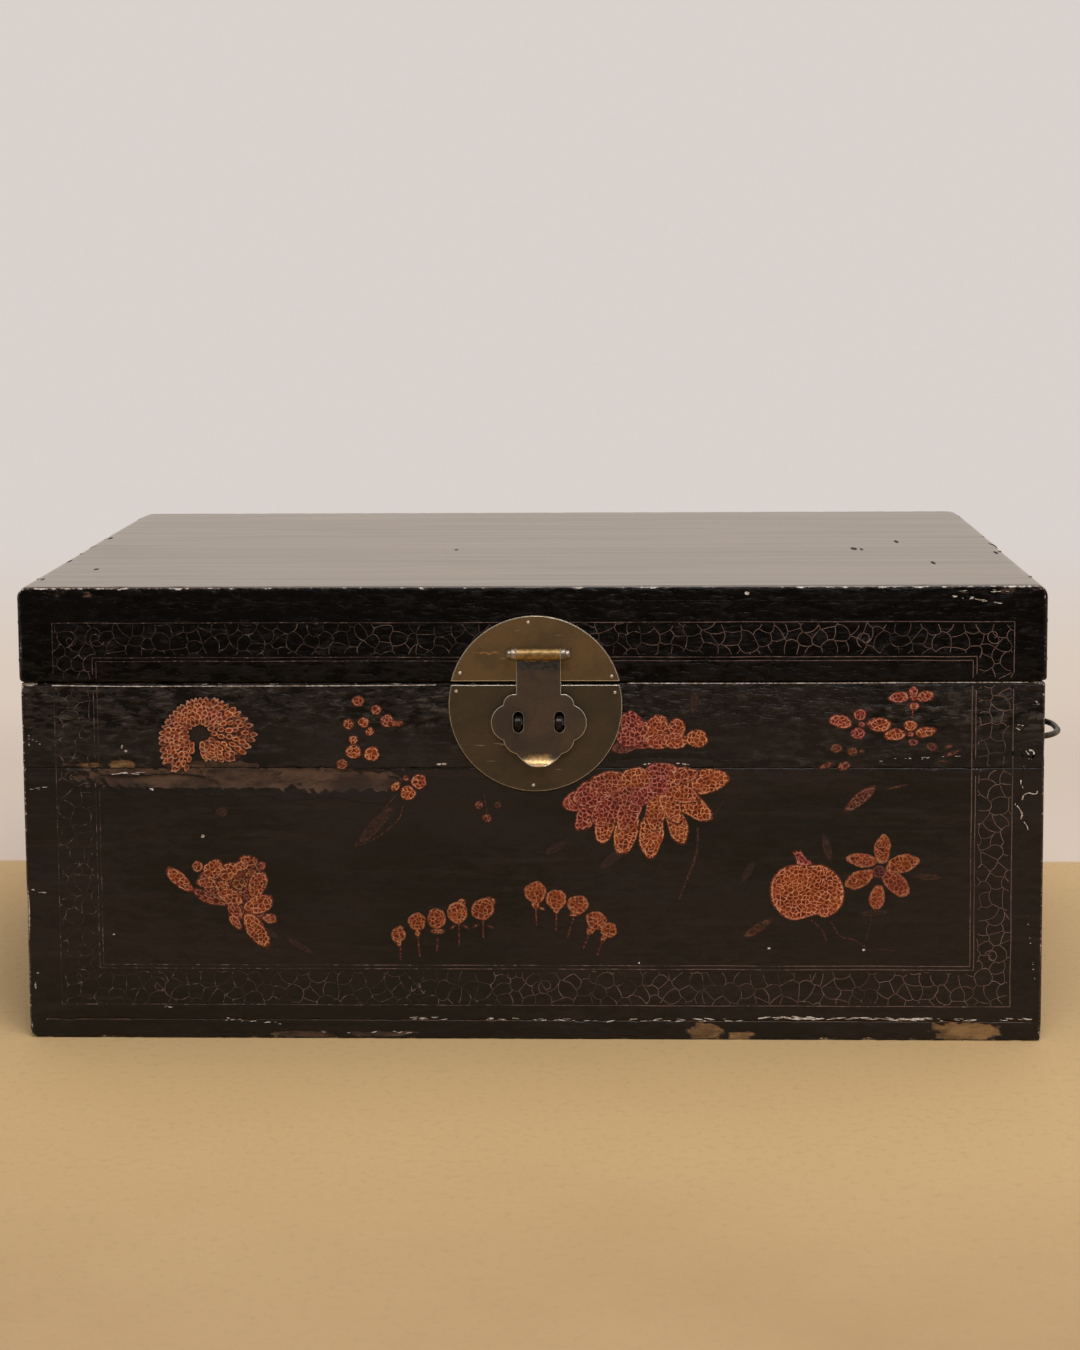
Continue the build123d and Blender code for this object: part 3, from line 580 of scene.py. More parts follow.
def flower_paint():
    """Gold and orange paint in a net over dark red, with a dark outline and a light rim to each petal.

    inner is how far in from a petal's outline, in mm. tone runs from pale at -1 over gold at 0 to crimson
    at 1, faint from fresh to worn off, and hollow from a petal of net to one that is only its rim."""
    p = Paint("flower_paint")
    inner, tone, faint, hollow = (p.attribute(name) for name in ("inner", "tone", "faint", "hollow"))
    full = p.calc("SUBTRACT", 1.0, hollow)
    uneven = p.ragged(0.1, 700, 2)
    net = p.plus(p.cells(330, 0.0026), uneven)
    rim = p.plus(inner, p.times(uneven, 4.0))

    def either(of_rim, of_net):
        return p.plus(p.times(of_rim, hollow), p.times(of_net, full))

    strands = either(p.step(rim, 0.85, 0.5), p.step(net, 0.11, 0.02))
    strands = p.times(strands, p.step(p.noise(300, 3), 0.36, 0.6, 0.15, 1.0))
    holes = either(p.step(rim, 0.7, 1.4), p.step(net, 0.09, 0.26))
    red = p.step(p.plus(tone, p.ragged(0.9, 45, 2)), 0.0, 0.9)
    light = p.mix(red, (0.8, 0.36, 0.18), (0.67, 0.22, 0.175))
    light = p.mix(p.step(p.noise(240, 2), 0.46, 0.68, 0, 0.75), light, (0.72, 0.44, 0.32))
    ground = p.mix(red, (0.33, 0.066, 0.011), (0.24, 0.028, 0.022))
    deep = p.mix(red, (0.1, 0.015, 0.003), (0.075, 0.007, 0.008))
    colour = p.mix(p.times(holes, p.step(p.noise(110, 3), 0.66, 0.4, 0.35, 1.0)), ground, deep)
    colour = p.mix(strands, colour, light)
    lit = p.times(p.times(p.step(rim, 0.65, 0.9), p.step(rim, 1.7, 1.3)), full)
    colour = p.mix(p.times(lit, p.step(p.noise(420, 2), 0.42, 0.62, 0.0, 0.75)), colour, light)
    outline = either(p.step(rim, 0.15, 0.0), p.step(rim, 0.8, 0.45))
    colour = p.mix(p.times(outline, 0.85), colour, (0.045, 0.011, 0.006))
    colour = p.mix(p.times(strands, p.step(tone, 0.0, -1.0)), colour, (0.5, 0.32, 0.26))
    scuffed = p.step(p.plus(p.noise(200, 4, 0.7), p.times(faint, 0.12)), 0.62, 0.74)
    colour = p.mix(p.times(scuffed, 0.8), colour, (0.03, 0.016, 0.011))
    colour = p.mix(faint, colour, (0.0165, 0.012, 0.0105))
    return p.done(Base_Color=colour, Roughness=p.step(p.noise(90, 2), 0.3, 0.7, 0.42, 0.6),
                  Normal=p.bump(strands, 0.0002, 0.4), Specular_IOR_Level=0.25)


def chip_paint(name, light, dark, rough):
    """What shows where the lacquer is broken: its pale ground, or a black scar. The pale one also draws
    painted highlights.
    """
    p = Paint(name)
    grain = p.noise(500, 3, 0.6)
    return p.done(Base_Color=p.mix(p.step(grain, 0.42, 0.6), light, dark), Normal=p.bump(grain, 0.0002, 0.4),
                  Roughness=p.step(grain, 0.3, 0.7, rough, rough + 0.2), Specular_IOR_Level=0.3)


def line_paint():
    """The border's red-brown lines, rubbed away in places and clearer towards the right."""
    p = Paint("line_paint")
    worn = p.plus(p.noise(22, 4, 0.65), p.times(p.x, 0.36))
    colour = p.mix(p.step(worn, 0.4, 0.66), (0.03, 0.02, 0.018), (0.17, 0.103, 0.09))
    colour = p.mix(p.step(p.noise(260, 3), 0.5, 0.7, 0, 0.7), colour, (0.27, 0.2, 0.18))
    return p.done(Base_Color=colour, Roughness=p.step(p.noise(90, 2), 0.3, 0.7, 0.4, 0.6),
                  Normal=p.bump(p.noise(300, 2), 0.0002, 0.3), Specular_IOR_Level=0.25)


FLOWER_PAINT, LINE_PAINT = flower_paint(), line_paint()
# The pale ground's paint also draws painted highlights on worn edges and dents.
PALE_GROUND_AND_GLINT = chip_paint("pale_ground_and_glint", (0.72, 0.69, 0.68), (0.34, 0.26, 0.21), 0.4)
SCAR = chip_paint("scar", (0.0035, 0.003, 0.003), (0.007, 0.006, 0.0058), 0.25)


def turned(x, z, along, across, angle):
    """The point along and across from (x, z), where along is turned by an angle against the clock."""
    return (x + along * math.cos(angle) - across * math.sin(angle),
            z + along * math.sin(angle) + across * math.cos(angle))


class Painting:
    """Thin closed shapes of paint, raised a little from one body's front and joined into one piece."""

    # How far in from its outline each ring of a shape lies: in mm, and at most as a share of the shape's
    # half width. The last number is the ring's share of the shape's height.
    RINGS = ((0.0, 0.0, 0.0), (0.3, 0.3, 0.6), (0.7, 0.6, 1.0), (1.6, 0.85, 1.0))
    # Heights over the board's face, in mm: of the hidden side, of a shape's edge, what each later shape
    # adds to its edge, and how far its middle rises over that.
    SUNK, LIFT, LAYER, CROWN = -0.1, 0.02, 0.008, 0.1

    def __init__(self, name, body="chest"):
        self.name, self.body = name, body
        self.front = LID_FRONT if body == "lid" else BODY_FRONT
        self.points, self.faces, self.layer, self.hollow = [], [], 0, 0.0
        self.values = {"inner": [], "tone": [], "faint": [], "hollow": []}

    def put(self, x, z, height, inner=0.5, tone=0.0, faint=0.0):
        """One point, height mm in front of the board."""
        self.points.append((x, self.front - height, z))
        for key, value in zip(self.values, (inner, tone, faint, self.hollow)):
            self.values[key].append(value)
        return len(self.points) - 1

    def wall(self, low, high):
        """The faces between two rings of points."""
        for i in range(len(low)):
            j = (i + 1) % len(low)
            self.faces.append((low[i], low[j], high[j], high[i]))

    def shape(self, outline, tone=0.0, faint=0.0):
        """A crowned patch inside an outline of (x, z) points."""
        outline = np.array(outline)
        area = sum(a[0] * b[1] - b[0] * a[1] for a, b in zip(outline, np.roll(outline, -1, axis=0)))
        if area < 0:
            outline = outline[::-1]
        middle, count = outline.mean(axis=0), len(outline)
        half = np.hypot(*(outline - middle).T).min()
        base = self.LIFT + self.LAYER * self.layer
        self.layer += 1
        rows = [[self.put(x, z, self.SUNK, 0, tone, faint) for x, z in outline]]
        for inset, share, height in self.RINGS:
            inner = min(inset, share * half)
            ring = middle + (outline - middle) * (1 - inner / half)
            rows.append([self.put(x, z, base + self.CROWN * height, inner, tone, faint) for x, z in ring])
        for low, high in zip(rows, rows[1:]):
            self.wall(low, high)
        centre = self.put(*middle, base + self.CROWN, half, tone, faint)
        hidden = self.put(*middle, self.SUNK, half, tone, faint)
        for i in range(count):
            j = (i + 1) % count
            self.faces.append((rows[-1][i], rows[-1][j], centre))
            self.faces.append((rows[0][j], rows[0][i], hidden))

    def petal(self, u, v, long, wide, angle, tone=0.0, faint=0.0, point=0.1, sides=30):
        """A petal round the photograph's pixel (u, v), with its sizes in the same pixels."""
        x, z = on_front(u, v, self.front)
        scale = on_front(u + 1, v, self.front)[0] - x
        rng = random.Random(u * 7 + v)
        lobes = [rng.uniform(0, 2 * math.pi) for _ in range(2)]
        outline = []
        for i in range(sides):
            t = 2 * math.pi * i / sides
            swell = 1 + 0.035 * math.sin(3 * t + lobes[0]) + 0.03 * math.sin(5 * t + lobes[1])
            swell += rng.uniform(-0.035, 0.035)
            a = math.cos(t) * long / 2 * scale * swell
            b = math.sin(t) * abs(math.sin(t)) ** point * wide / 2 * scale * swell
            outline.append(turned(x, z, a, b, math.radians(angle)))
        self.shape(outline, tone, faint)

    def petals(self, rows, grow=1.0, fade=0.0, **options):
        for u, v, long, wide, angle, tone, faint in rows:
            self.petal(u, v, long * grow, wide * grow, angle, tone, faint + fade * (1 - faint), **options)

    def flat_mark(self, u, v, long, wide, angle, rng):
        """A ragged flat mark round the photograph's pixel (u, v), with its sizes in mm, for chips and for
        dashes of painted highlight.
        """
        x, z = on_front(u, v, self.front)
        x = np.clip(x, -FLAT_HALF, FLAT_HALF)
        outline = []
        for i in range(9):
            t = 2 * math.pi * (i + rng.uniform(-0.3, 0.3)) / 9
            grown = rng.uniform(0.6, 1.1)
            a, b = math.cos(t) * long / 2 * grown, math.sin(t) * wide / 2 * grown
            outline.append(turned(x, z, a, b, math.radians(angle)))
        heights = (-0.4, 0.03 + 0.02 * rng.random())
        back, face = [[self.put(*q, height) for q in outline] for height in heights]
        self.faces += [back[::-1], face]
        self.wall(back, face)

    def stroke(self, path, width, tone=0.0, faint=0.0, thick=0.05, inner=0.6):
        """A brush line along (x, z) points, of one width or a width for each point."""
        path = np.array(path, float)
        rows = []
        for i, (q, wide) in enumerate(zip(path, np.broadcast_to(width, len(path)))):
            along = path[min(i + 1, len(path) - 1)] - path[max(i - 1, 0)]
            side = np.array((-along[1], along[0])) / max(np.linalg.norm(along), 1e-9) * wide / 2
            ring = ((q + side, self.SUNK), (q + side, thick), (q - side, thick), (q - side, self.SUNK))
            rows.append([self.put(*place, height, inner, tone, faint) for place, height in ring])
        for low, high in zip(rows, rows[1:]):
            self.wall(low, high)
        self.faces += [rows[0][::-1], rows[-1]]

    def made(self, material=FLOWER_PAINT):
        mesh = surface(self.name, self.points, self.faces, [material], self.values)
        mesh.set_sharp_from_angle(angle=math.radians(60))
        piece = linked(self.name, mesh)
        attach(piece, self.body)


# A petal is (u, v, length, width, angle, tone, faint): its middle and sizes in the photograph's pixels,
# its angle in degrees against the clock, and its tone and faintness as flower_paint takes them.
BERRIES = [
    (358, 701.1, 13.6, 11.4, 0, 0.3, 0.15), (376.1, 709.9, 11.4, 10.6, 0, 0.35, 0.1),
    (348.4, 724, 11.9, 11.4, 0, 0.4, 0.1), (363.6, 722.4, 11.7, 11.4, 20, 0.2, 0),
    (369.6, 731.6, 10.3, 9.2, 40, 0.3, 0.1), (353.3, 739.8, 10.3, 9.8, 0, 0.3, 0.1),
    (353.3, 751.7, 14.6, 16.8, 90, 0.1, 0), (371.8, 753.9, 16.1, 15.7, 0, 0.15, 0),
    (341.9, 764.2, 13, 11.4, 20, 0.3, 0.4), (386.9, 720.8, 13.6, 14.1, -20, 0.4, 0.1),
    (394.5, 723.5, 7.6, 7.6, 0, 0.4, 0.2), (399.4, 723.5, 8.7, 6.5, 30, 0, 0.35),
    (418.9, 781.5, 16.3, 16.1, 0, 0.35, 0), (408.1, 792.9, 16.3, 15.7, 0, 0.3, 0),
    (395.6, 786.4, 13, 8.7, 40, 0.1, 0.1), (405.9, 778.3, 6.5, 7.6, 40, 0.6, 0.4),
]
BLOSSOMS = [
    (899.1, 697.3, 21.3, 11.4, 5, 0.7, 0.05), (924.9, 696.3, 19.3, 11.1, 12, 0.6, 0.1),
    (913.5, 691.3, 9.9, 10.4, 0, 0.75, 0.1), (914.2, 706.2, 10.9, 8.4, 0, 0.6, 0.1),
    (913.8, 697.3, 9.4, 7.4, 0, 0.9, 0.1), (840.7, 721.5, 23.8, 13.4, -12, 0.45, 0),
    (879.3, 724.5, 24.3, 14.4, -4, 0.3, 0), (860, 714.6, 12.9, 12.1, 0, 0.5, 0.05),
    (858, 733.4, 14.9, 12.4, 0, 0.8, 0.15), (862, 724.5, 8.9, 5.9, -20, 0.9, 0.3),
    (895.1, 734.6, 22.3, 12.1, 4, 0.4, 0), (925.3, 732.1, 21.3, 10.7, 8, 0.2, 0.1),
    (910.5, 725.7, 14.1, 11.4, 0, 0.35, 0), (913, 742.3, 11.4, 7.9, 0, 1, 0.5),
    (910.8, 734.4, 7.9, 5.9, 0, 0.8, 0.2),
]
FAINT_BUDS = [
    (836.2, 748.3, 12.9, 9.4, 0, 0.5, 0.62), (852.6, 751.7, 11.4, 9.1, 0, 0.2, 0.66),
    (844.2, 765.9, 13.4, 9.1, 15, 0.5, 0.4), (826.3, 765.6, 16.8, 5.9, 20, 0.4, 0.6),
    (862, 751.2, 5.9, 5, 0, 0.2, 0.7), (931.8, 746.8, 12.4, 8.9, -20, 0.4, 0.72),
    (948.6, 746.5, 9.4, 5, 10, 0.4, 0.76), (952.6, 753.2, 18.8, 4.5, 22, 0.4, 0.72),
    (943.7, 761.1, 8.9, 3, 0, 0.3, 0.6), (860, 798.8, 38.6, 11.9, 40, 0.5, 0.62),
    (897.1, 786.9, 23.8, 2.4, 12, 0.4, 0.6),
]
LEAFY_FLOWER = [
    (179.5, 879.5, 31.9, 12.9, -43, 0.25, 0.05), (214.4, 900.6, 30.1, 8.6, -12, 0.5, 0.25),
    (203.2, 895.8, 21.5, 9.5, -35, 0.6, 0.2), (197.6, 866.5, 10.8, 10.8, 0, 0.1, 0.2),
    (213.1, 869.5, 20.7, 16.8, 45, 0.2, 0), (206.7, 882.9, 19.8, 10.8, -5, 0.35, 0.15),
    (229.1, 871.7, 21.5, 15.1, 45, 0.25, 0.05), (241.1, 866.1, 13.8, 9.9, 0, 0.2, 0.1),
    (248.5, 860.9, 18.5, 10.8, -8, 0.3, 0.1), (261.8, 865.7, 8.2, 8.6, 0, 0.5, 0.3),
    (250.8, 873.4, 12.9, 7.8, 20, 0.35, 0.3), (239.4, 883.8, 15.5, 12.1, 0, 0.1, 0.35),
    (222.6, 885.9, 14.2, 10.8, 0, 0.15, 0.15), (229.1, 895.8, 29.3, 15.5, -32, 0.3, 0.1),
    (235.1, 910.5, 21.5, 12.1, -60, 0.4, 0.15), (235.1, 921.2, 18.9, 9, -55, 0.3, 0.15),
    (257.5, 884.6, 26.7, 17.2, 68, 0.25, 0.1), (269.6, 918.2, 14.2, 9.9, -10, 0.3, 0.25),
    (256.2, 929.8, 37.9, 16.8, -57, 0.15, 0.05), (258.8, 904.4, 28.4, 17.2, 18, 0.15, 0),
]
DROP_FLOWERS = [
    (398.3, 934.8, 14.4, 14, 90, 0.15, 0.1), (417, 921.4, 16.7, 16.7, 90, 0.1, 0),
    (436.6, 918.5, 19.9, 17.5, 90, 0.25, 0.05), (457.4, 912.4, 21.5, 18.8, 90, 0.1, 0),
    (482.9, 908.9, 23.1, 19.9, 35, 0.2, 0), (535.5, 892.2, 20.7, 20.4, 0, 0.1, 0.05),
    (556.2, 899.4, 19.5, 19.5, 0, 0.05, 0), (577.8, 904.5, 20.4, 17.9, 0, 0.2, 0),
    (596.1, 920.4, 19.5, 17.9, -20, 0.3, 0.05), (608.9, 930, 15.2, 14.7, 20, 0.1, 0.05),
]
DROP_TUFTS = [
    (400.7, 927.7, 7.2, 4.8, 0, 0.1, 0.3), (417.5, 932.8, 9.6, 5.7, 90, 0.2, 0.2),
    (437.7, 931.3, 13.6, 5.7, 0, 0.3, 0.3), (461.8, 902.5, 8, 8, 0, 0.1, 0.1),
    (452.6, 927.1, 7.2, 2.9, 30, 0.3, 0.35), (465.8, 926.8, 7.2, 2.9, -30, 0.3, 0.35),
    (489.7, 901.7, 11.2, 9.6, 0, 0.1, 0.05), (475.7, 925.8, 7.2, 2.6, 30, 0.3, 0.4),
    (490.4, 926.8, 7.2, 2.6, -20, 0.3, 0.4), (535.5, 903.8, 9.6, 8, 90, 0.3, 0.1),
    (541.9, 908.6, 8, 3.5, -10, 0.3, 0.3), (556.2, 908.9, 9.6, 7, 90, 0.4, 0.1),
    (575.4, 913.7, 12.8, 5.4, 10, 0.4, 0.2), (591.3, 928.9, 12.8, 8, 60, 0.3, 0.1),
    (604.1, 937.6, 10.5, 5.7, 55, 0.3, 0.15), (399.1, 942.4, 9.6, 5.4, 90, 0.4, 0.3),
]
SIX_PETALS = [
    (882.6, 849.2, 28.5, 15.5, 84, 0.15, 0), (902.3, 863.8, 32.1, 17.2, 16, 0.2, 0),
    (895.6, 883.4, 33.3, 18.2, -42, 0.35, 0.05), (877.1, 897.7, 24.8, 14.8, 82, 0.25, 0),
    (859.2, 879.3, 29.1, 16, 28, 0.2, 0.05), (861.7, 860.2, 29.1, 13.6, -8, 0.3, 0),
    (879.2, 871.7, 13.3, 12.1, 0, 0.9, 0.55),
]
PEONY_UPPER = [
    (625, 746.7, 26.4, 12.6, 10, 0.95, 0.6), (630.8, 722, 21.8, 20.1, 0, 0.75, 0.05),
    (628.5, 736.3, 24.1, 19.5, 0, 0.85, 0.1), (643.4, 732.9, 24.1, 21.8, 0, 0.6, 0.05),
    (643.4, 744.4, 25.3, 9.2, 0, 0.7, 0.2), (657.2, 726.6, 21.8, 21.8, 0, 0.3, 0),
    (658.9, 740.9, 27.6, 15.5, 0, 0.5, 0.05), (661.2, 718.5, 6.9, 10.3, 90, 0.2, 0.1),
    (676.7, 727.7, 17.2, 17.2, 0, 0.25, 0), (675.6, 740.4, 25.3, 16.1, 0, 0.4, 0.05),
    (696.8, 738.6, 21.2, 17.2, -5, 0.2, 0),
]
PEONY_LOWER = [
    (576.2, 801.2, 26.4, 18.9, 15, 0.6, 0.05), (586.6, 816.7, 29.9, 18.4, 55, 0.55, 0.05),
    (604.4, 825.9, 34.4, 18.9, 80, 0.3, 0), (691.6, 805.2, 44.8, 21.2, -33, 0.15, 0),
    (676.7, 823.6, 41.3, 18.9, -72, 0.15, 0.05), (626.2, 832.8, 42.5, 21.8, 72, 0.15, 0),
    (651.4, 833.9, 45.9, 23.5, 83, 0.1, 0), (703.1, 781.1, 49.4, 23.5, 6, 0.1, 0),
    (594.6, 793.7, 43.6, 25.3, 12, 0.6, 0.1), (610.1, 809.8, 41.3, 26.4, 35, 0.6, 0.05),
    (609, 782.3, 41.3, 20.7, 10, 0.45, 0.15), (628.5, 814.4, 34.4, 20.7, 60, 0.5, 0.05),
    (637.7, 778.8, 33.3, 21.8, 0, 0.15, 0.05), (628.5, 796, 34.4, 19.5, 15, 0.6, 0.15),
    (656, 811, 37.9, 19.5, 80, 0.3, 0.05), (671, 807.5, 34.4, 17.2, -60, 0.3, 0.05),
    (680.1, 792.6, 37.9, 18.4, -18, 0.3, 0), (680.1, 775.4, 37.9, 14.9, 6, 0.35, 0.05),
    (661.8, 769.6, 32.1, 13.8, 0, 0.5, 0.05), (642.3, 796, 27.6, 17.2, 30, 0.85, 0.1),
    (658.9, 785.7, 20.7, 18.4, 0, 1, 0),
]
DROP_STEMS = [
    (400.1, 940.8), (400.7, 960), (418, 936), (419.9, 956.8), (437.7, 937.6), (437.1, 950.7),
    (458.9, 922.5), (459.3, 946.4), (483, 919.3), (483.5, 937.6), (536, 908.9), (536.6, 925.7),
    (556.4, 910.5), (555.9, 930.5), (574.3, 915.3), (567.4, 937.6), (590.2, 931.3), (583.3, 948.8),
    (603.3, 939.2), (596.9, 955.2),
]
POMEGRANATE_OUTLINE = [
    (769.5, 892.9), (770.4, 882), (775.6, 872.9), (783.5, 866.8), (793.2, 864.4), (802.9, 864),
    (812.6, 864.4), (824.1, 864.8), (835.6, 872.3), (842.6, 882), (845.3, 892.9), (843.5, 903.2),
    (838, 911.3), (829.5, 916.8), (822.9, 917.7), (817.7, 914.9), (812.6, 916.2), (802.9, 919.3),
    (793.2, 920.8), (785.3, 918.3), (777.4, 911.7), (771.6, 903.2),
]
POMEGRANATE_CROWN = [
    (791, 850.7), (793.4, 851.9), (795.6, 849.6), (798.6, 851.1), (801.1, 849.8), (804.3, 855.3),
    (809.2, 860.4), (816, 865.2), (807.7, 867.7), (798, 867.4), (795.6, 861.4), (793.8, 855.3),
]
CHRYSANTHEMUM_EYE = (199, 733.5)
# Angles in degrees, and how far the flower reaches that way in the photograph's pixels.
CHRYSANTHEMUM_REACH = [
    (-180, 38), (-155, 41), (-133, 48), (-112, 40), (-90, 26), (-62, 28), (-30, 47), (0, 57), (25, 46),
    (45, 40), (90, 34), (135, 32), (160, 34), (180, 38),
]
CHRYSANTHEMUM_GAP = (-108, -78)  # where the flower is open below its eye


def chrysanthemum():
    """Rings of hollow petals round a dark eye, shorter above than to the right."""
    flower = Painting("painted_chrysanthemum")
    angles, reaches = zip(*CHRYSANTHEMUM_REACH)
    rng = random.Random(4)
    rings, eye, outer, petal = 6, 10.0, 38, 6.6  # radii and a petal's size are in the photograph's pixels
    low, high = CHRYSANTHEMUM_GAP

    def at(angle, away):
        turn = math.radians(angle)
        return (CHRYSANTHEMUM_EYE[0] + away * math.cos(turn), CHRYSANTHEMUM_EYE[1] - away * math.sin(turn))

    around = np.linspace(high + 3, low + 357, 60)
    ground = [at(a, np.interp((a + 180) % 360 - 180, angles, reaches) + rng.uniform(-1.5, 2)) for a in around]
    flower.shape([on_front(*q) for q in [*ground, at(low - 8, eye), at(high + 8, eye)]], 0.5, 0.6)
    flower.petal(*CHRYSANTHEMUM_EYE, 24, 22, 0, 0.6, 0.975)
    flower.hollow = 1.0
    for ring in range(rings, 0, -1):
        share = (ring - 0.25) / (rings - 0.25)
        count = round(2 * math.pi * (eye + (outer - eye) * share) / (petal * 0.86))
        for i in range(count):
            angle = -180 + 360 * (i + 0.5 * (ring % 2)) / count + rng.uniform(-3, 3)
            if low < angle < high:
                continue
            reach = float(np.interp(angle, angles, reaches)) - petal * 0.4
            u, v = at(angle, eye + (reach - eye) * share + rng.uniform(-0.8, 0.8))
            worn_off = rng.uniform(0.15, 0.5) if ring in (1, rings) else rng.uniform(0, 0.3)
            if ring == rings:
                tip = at(angle, reach + petal * 0.45)
                flower.petal(*tip, 3.6, 3.0, angle, -1.0, rng.uniform(0.05, 0.35), sides=8)
            flower.petal(u, v, petal * rng.uniform(1.05, 1.35), petal * rng.uniform(0.75, 0.95), angle,
                         rng.uniform(-0.1, 0.45), worn_off, sides=12)
    flower.made()


def smooth(points, closed=False, steps=5):
    """Points along a Catmull-Rom curve through the given ones."""
    q = [np.array(p, float) for p in points]
    q = [q[-1], *q, q[0], q[1]] if closed else [2 * q[0] - q[1], *q, 2 * q[-1] - q[-2]]
    out = []
    for a, b, c, d in zip(q, q[1:], q[2:], q[3:]):
        for i in range(steps):
            t = i / steps
            bend, twist = 2 * a - 5 * b + 4 * c - d, 3 * b - a - 3 * c + d
            out.append(0.5 * (2 * b + (c - a) * t + bend * t * t + twist * t ** 3))
    return out if closed else out + [q[-2]]


def photo_path(points, **options):
    return smooth([on_front(u, v) for u, v in points], **options)


# Leaves and stems that are nearly worn off. A stroke is (width in mm, tone, faint, points in the photograph).
FAINT_LEAVES = [
    (479, 805, 9.5, 9.5, 0, 0.7, 0.62), (498, 805, 8, 8.5, 0, 0.3, 0.86), (487, 818, 10.5, 9.5, 0, 0.5, 0.55),
    (376, 825, 56, 13, 47, 0.3, 0.93), (757.6, 928.5, 38, 10, 33, 0.25, 0.86),
    (612, 859, 36, 10, 38, 0.4, 0.95), (827, 848, 30, 9, 104, 0.6, 0.92),
    (928, 877, 30, 8, -4, 0.3, 0.93), (748, 872, 26, 8, 60, 0.4, 0.96),
    (694, 702, 26, 9, 84, 0.8, 0.93), (262, 930, 44, 9, -24, 0.4, 0.96),
    (300, 946, 36, 7, -32, 0.4, 0.95), (222, 812, 13, 11, 0, 0.3, 0.94),
    (556, 848, 30, 9, 30, 0.4, 0.96), (874, 913, 34, 8, 4, 0.3, 0.95),
]
FAINT_STROKES = [
    (1.7, 0.3, 0.9, [(698, 827), (697, 850), (690, 872), (679, 899)]),
    (1.3, 0.6, 0.84, [(811, 920), (822, 930), (827, 942)]),
    (1.1, 0.7, 0.84, [(831, 922), (840, 936), (854, 940), (866, 947)]),
    (0.9, 0.4, 0.9, [(872, 909), (870, 925), (866, 940)]),
    (0.9, 0.4, 0.92, [(868, 951), (882, 949), (895, 951)]),
    (1, 0.8, 0.4, [(913, 710), (912, 718)]),
    (0.9, 0.3, 0.85, [(395, 796), (382, 812), (364, 834), (354, 847)]),
    (0.9, 0.3, 0.85, [(404, 802), (398, 820), (376, 838), (354, 847)]),
    (0.8, 0.5, 0.85, [(484, 790), (485, 800), (487, 812)]),
    (0.8, 0.4, 0.93, [(703, 820), (716, 812), (724, 800)]),
    (0.7, 0.4, 0.93, [(203, 938), (236, 934), (262, 946), (282, 952)]),
    (0.5, -0.6, 0.65, [(201, 772), (206, 764), (202, 757)]),
    (0.5, -0.6, 0.65, [(205, 775), (197, 768), (195, 760)]),
]
LEAFY_GROUND = [(226, 888, 62, 30, -28, 0.6, 0.35), (246, 872, 34, 24, 20, 0.6, 0.35),
                (250, 905, 40, 22, -50, 0.6, 0.35)]


def flowers():
    chrysanthemum()
    for name, grow, fade, hollow, *groups in (
        ("faint_leaves", 1.0, 0.0, 0.0, FAINT_LEAVES),
        ("berries", 1.02, 0.12, 0.0, BERRIES),
        ("blossoms", 1.08, 0.1, 0.0, BLOSSOMS),
        ("leafy_flower", 1.14, 0.14, 0.0, LEAFY_GROUND, LEAFY_FLOWER),
        ("peony", 1.12, 0.04, 0.0, PEONY_UPPER, PEONY_LOWER),
        ("six_petal_flower", 1.08, 0.08, 0.45, SIX_PETALS),
        ("faint_buds", 1.08, 0.1, 0.0, FAINT_BUDS),
    ):
        flower = Painting(f"painted_{name}")
        flower.hollow = hollow
        for group in groups:
            flower.petals(group, 1.0 if group is LEAFY_GROUND else grow, fade)
        for width, tone, faint, path in FAINT_STROKES if name == "faint_leaves" else ():
            flower.stroke(photo_path(path), width, tone, faint, inner=2.0)
        flower.made()
    drops = Painting("painted_drop_flowers")
    for start, end in zip(DROP_STEMS[::2], DROP_STEMS[1::2]):
        drops.stroke([on_front(*start), on_front(*end)], 1.1, 0.8, 0.35, 0.08)
    drops.petals(DROP_TUFTS, 1.15, 0.1)
    drops.hollow = 0.4
    drops.petals(DROP_FLOWERS, 1.08, 0.08, point=0.02)
    drops.made()
    fruit = Painting("painted_pomegranate")
    fruit.shape(photo_path(POMEGRANATE_OUTLINE, closed=True), 0.25, 0.0)
    fruit.shape(photo_path(POMEGRANATE_CROWN, closed=True), 0.95, 0.1)
    fruit.made()


SEAM_V = 684  # rows of the photograph above this one show the lid
# Rows of pale marks: chips along worn edges and scratches, and painted highlights along the bottom edge and
# on dents near the right edge: (u, v, u, v, how many, length in mm, width in mm).
PALE_MARK_ROWS = [
    (950, 595, 1006, 603, 14, 3.5, 0.6), (960, 590, 1010, 591, 6, 4.0, 0.5),
    (106, 773, 141, 773, 5, 9.0, 0.7), (438, 765, 447, 765, 3, 4.0, 1.8), (630, 765, 696, 764, 12, 3.0, 0.9),
    (880, 760, 960, 757, 12, 3.0, 0.6), (1016, 754, 1021, 755, 4, 2.0, 1.0),
    (1021, 748, 1024, 770, 5, 1.2, 0.8), (1033, 700, 1040, 704, 4, 1.8, 0.5),
    (1018, 726, 1030, 722, 4, 2.2, 0.6), (1024, 890, 1036, 990, 9, 1.4, 0.7),
    (30, 790, 47, 788, 8, 3.0, 0.7), (27, 888, 45, 893, 5, 3.0, 0.7), (34, 982, 36, 990, 5, 1.3, 0.9),
    (25, 736, 29, 748, 4, 1.1, 0.9), (28, 735, 40, 745, 3, 1.6, 0.6), (150, 790, 158, 788, 3, 2.5, 0.8),
    (226, 1019, 280, 1023, 12, 3.5, 0.6), (412, 1018, 560, 1020, 20, 5.5, 0.6),
    (318, 1032, 410, 1032, 8, 4.0, 0.6), (560, 1020, 740, 1020, 26, 6.5, 0.7),
    (760, 1018, 928, 1019, 46, 9.5, 0.9), (928, 1020, 1034, 1019, 18, 5.5, 0.8),
    (165, 1007, 178, 1008, 3, 3.5, 0.6),
]
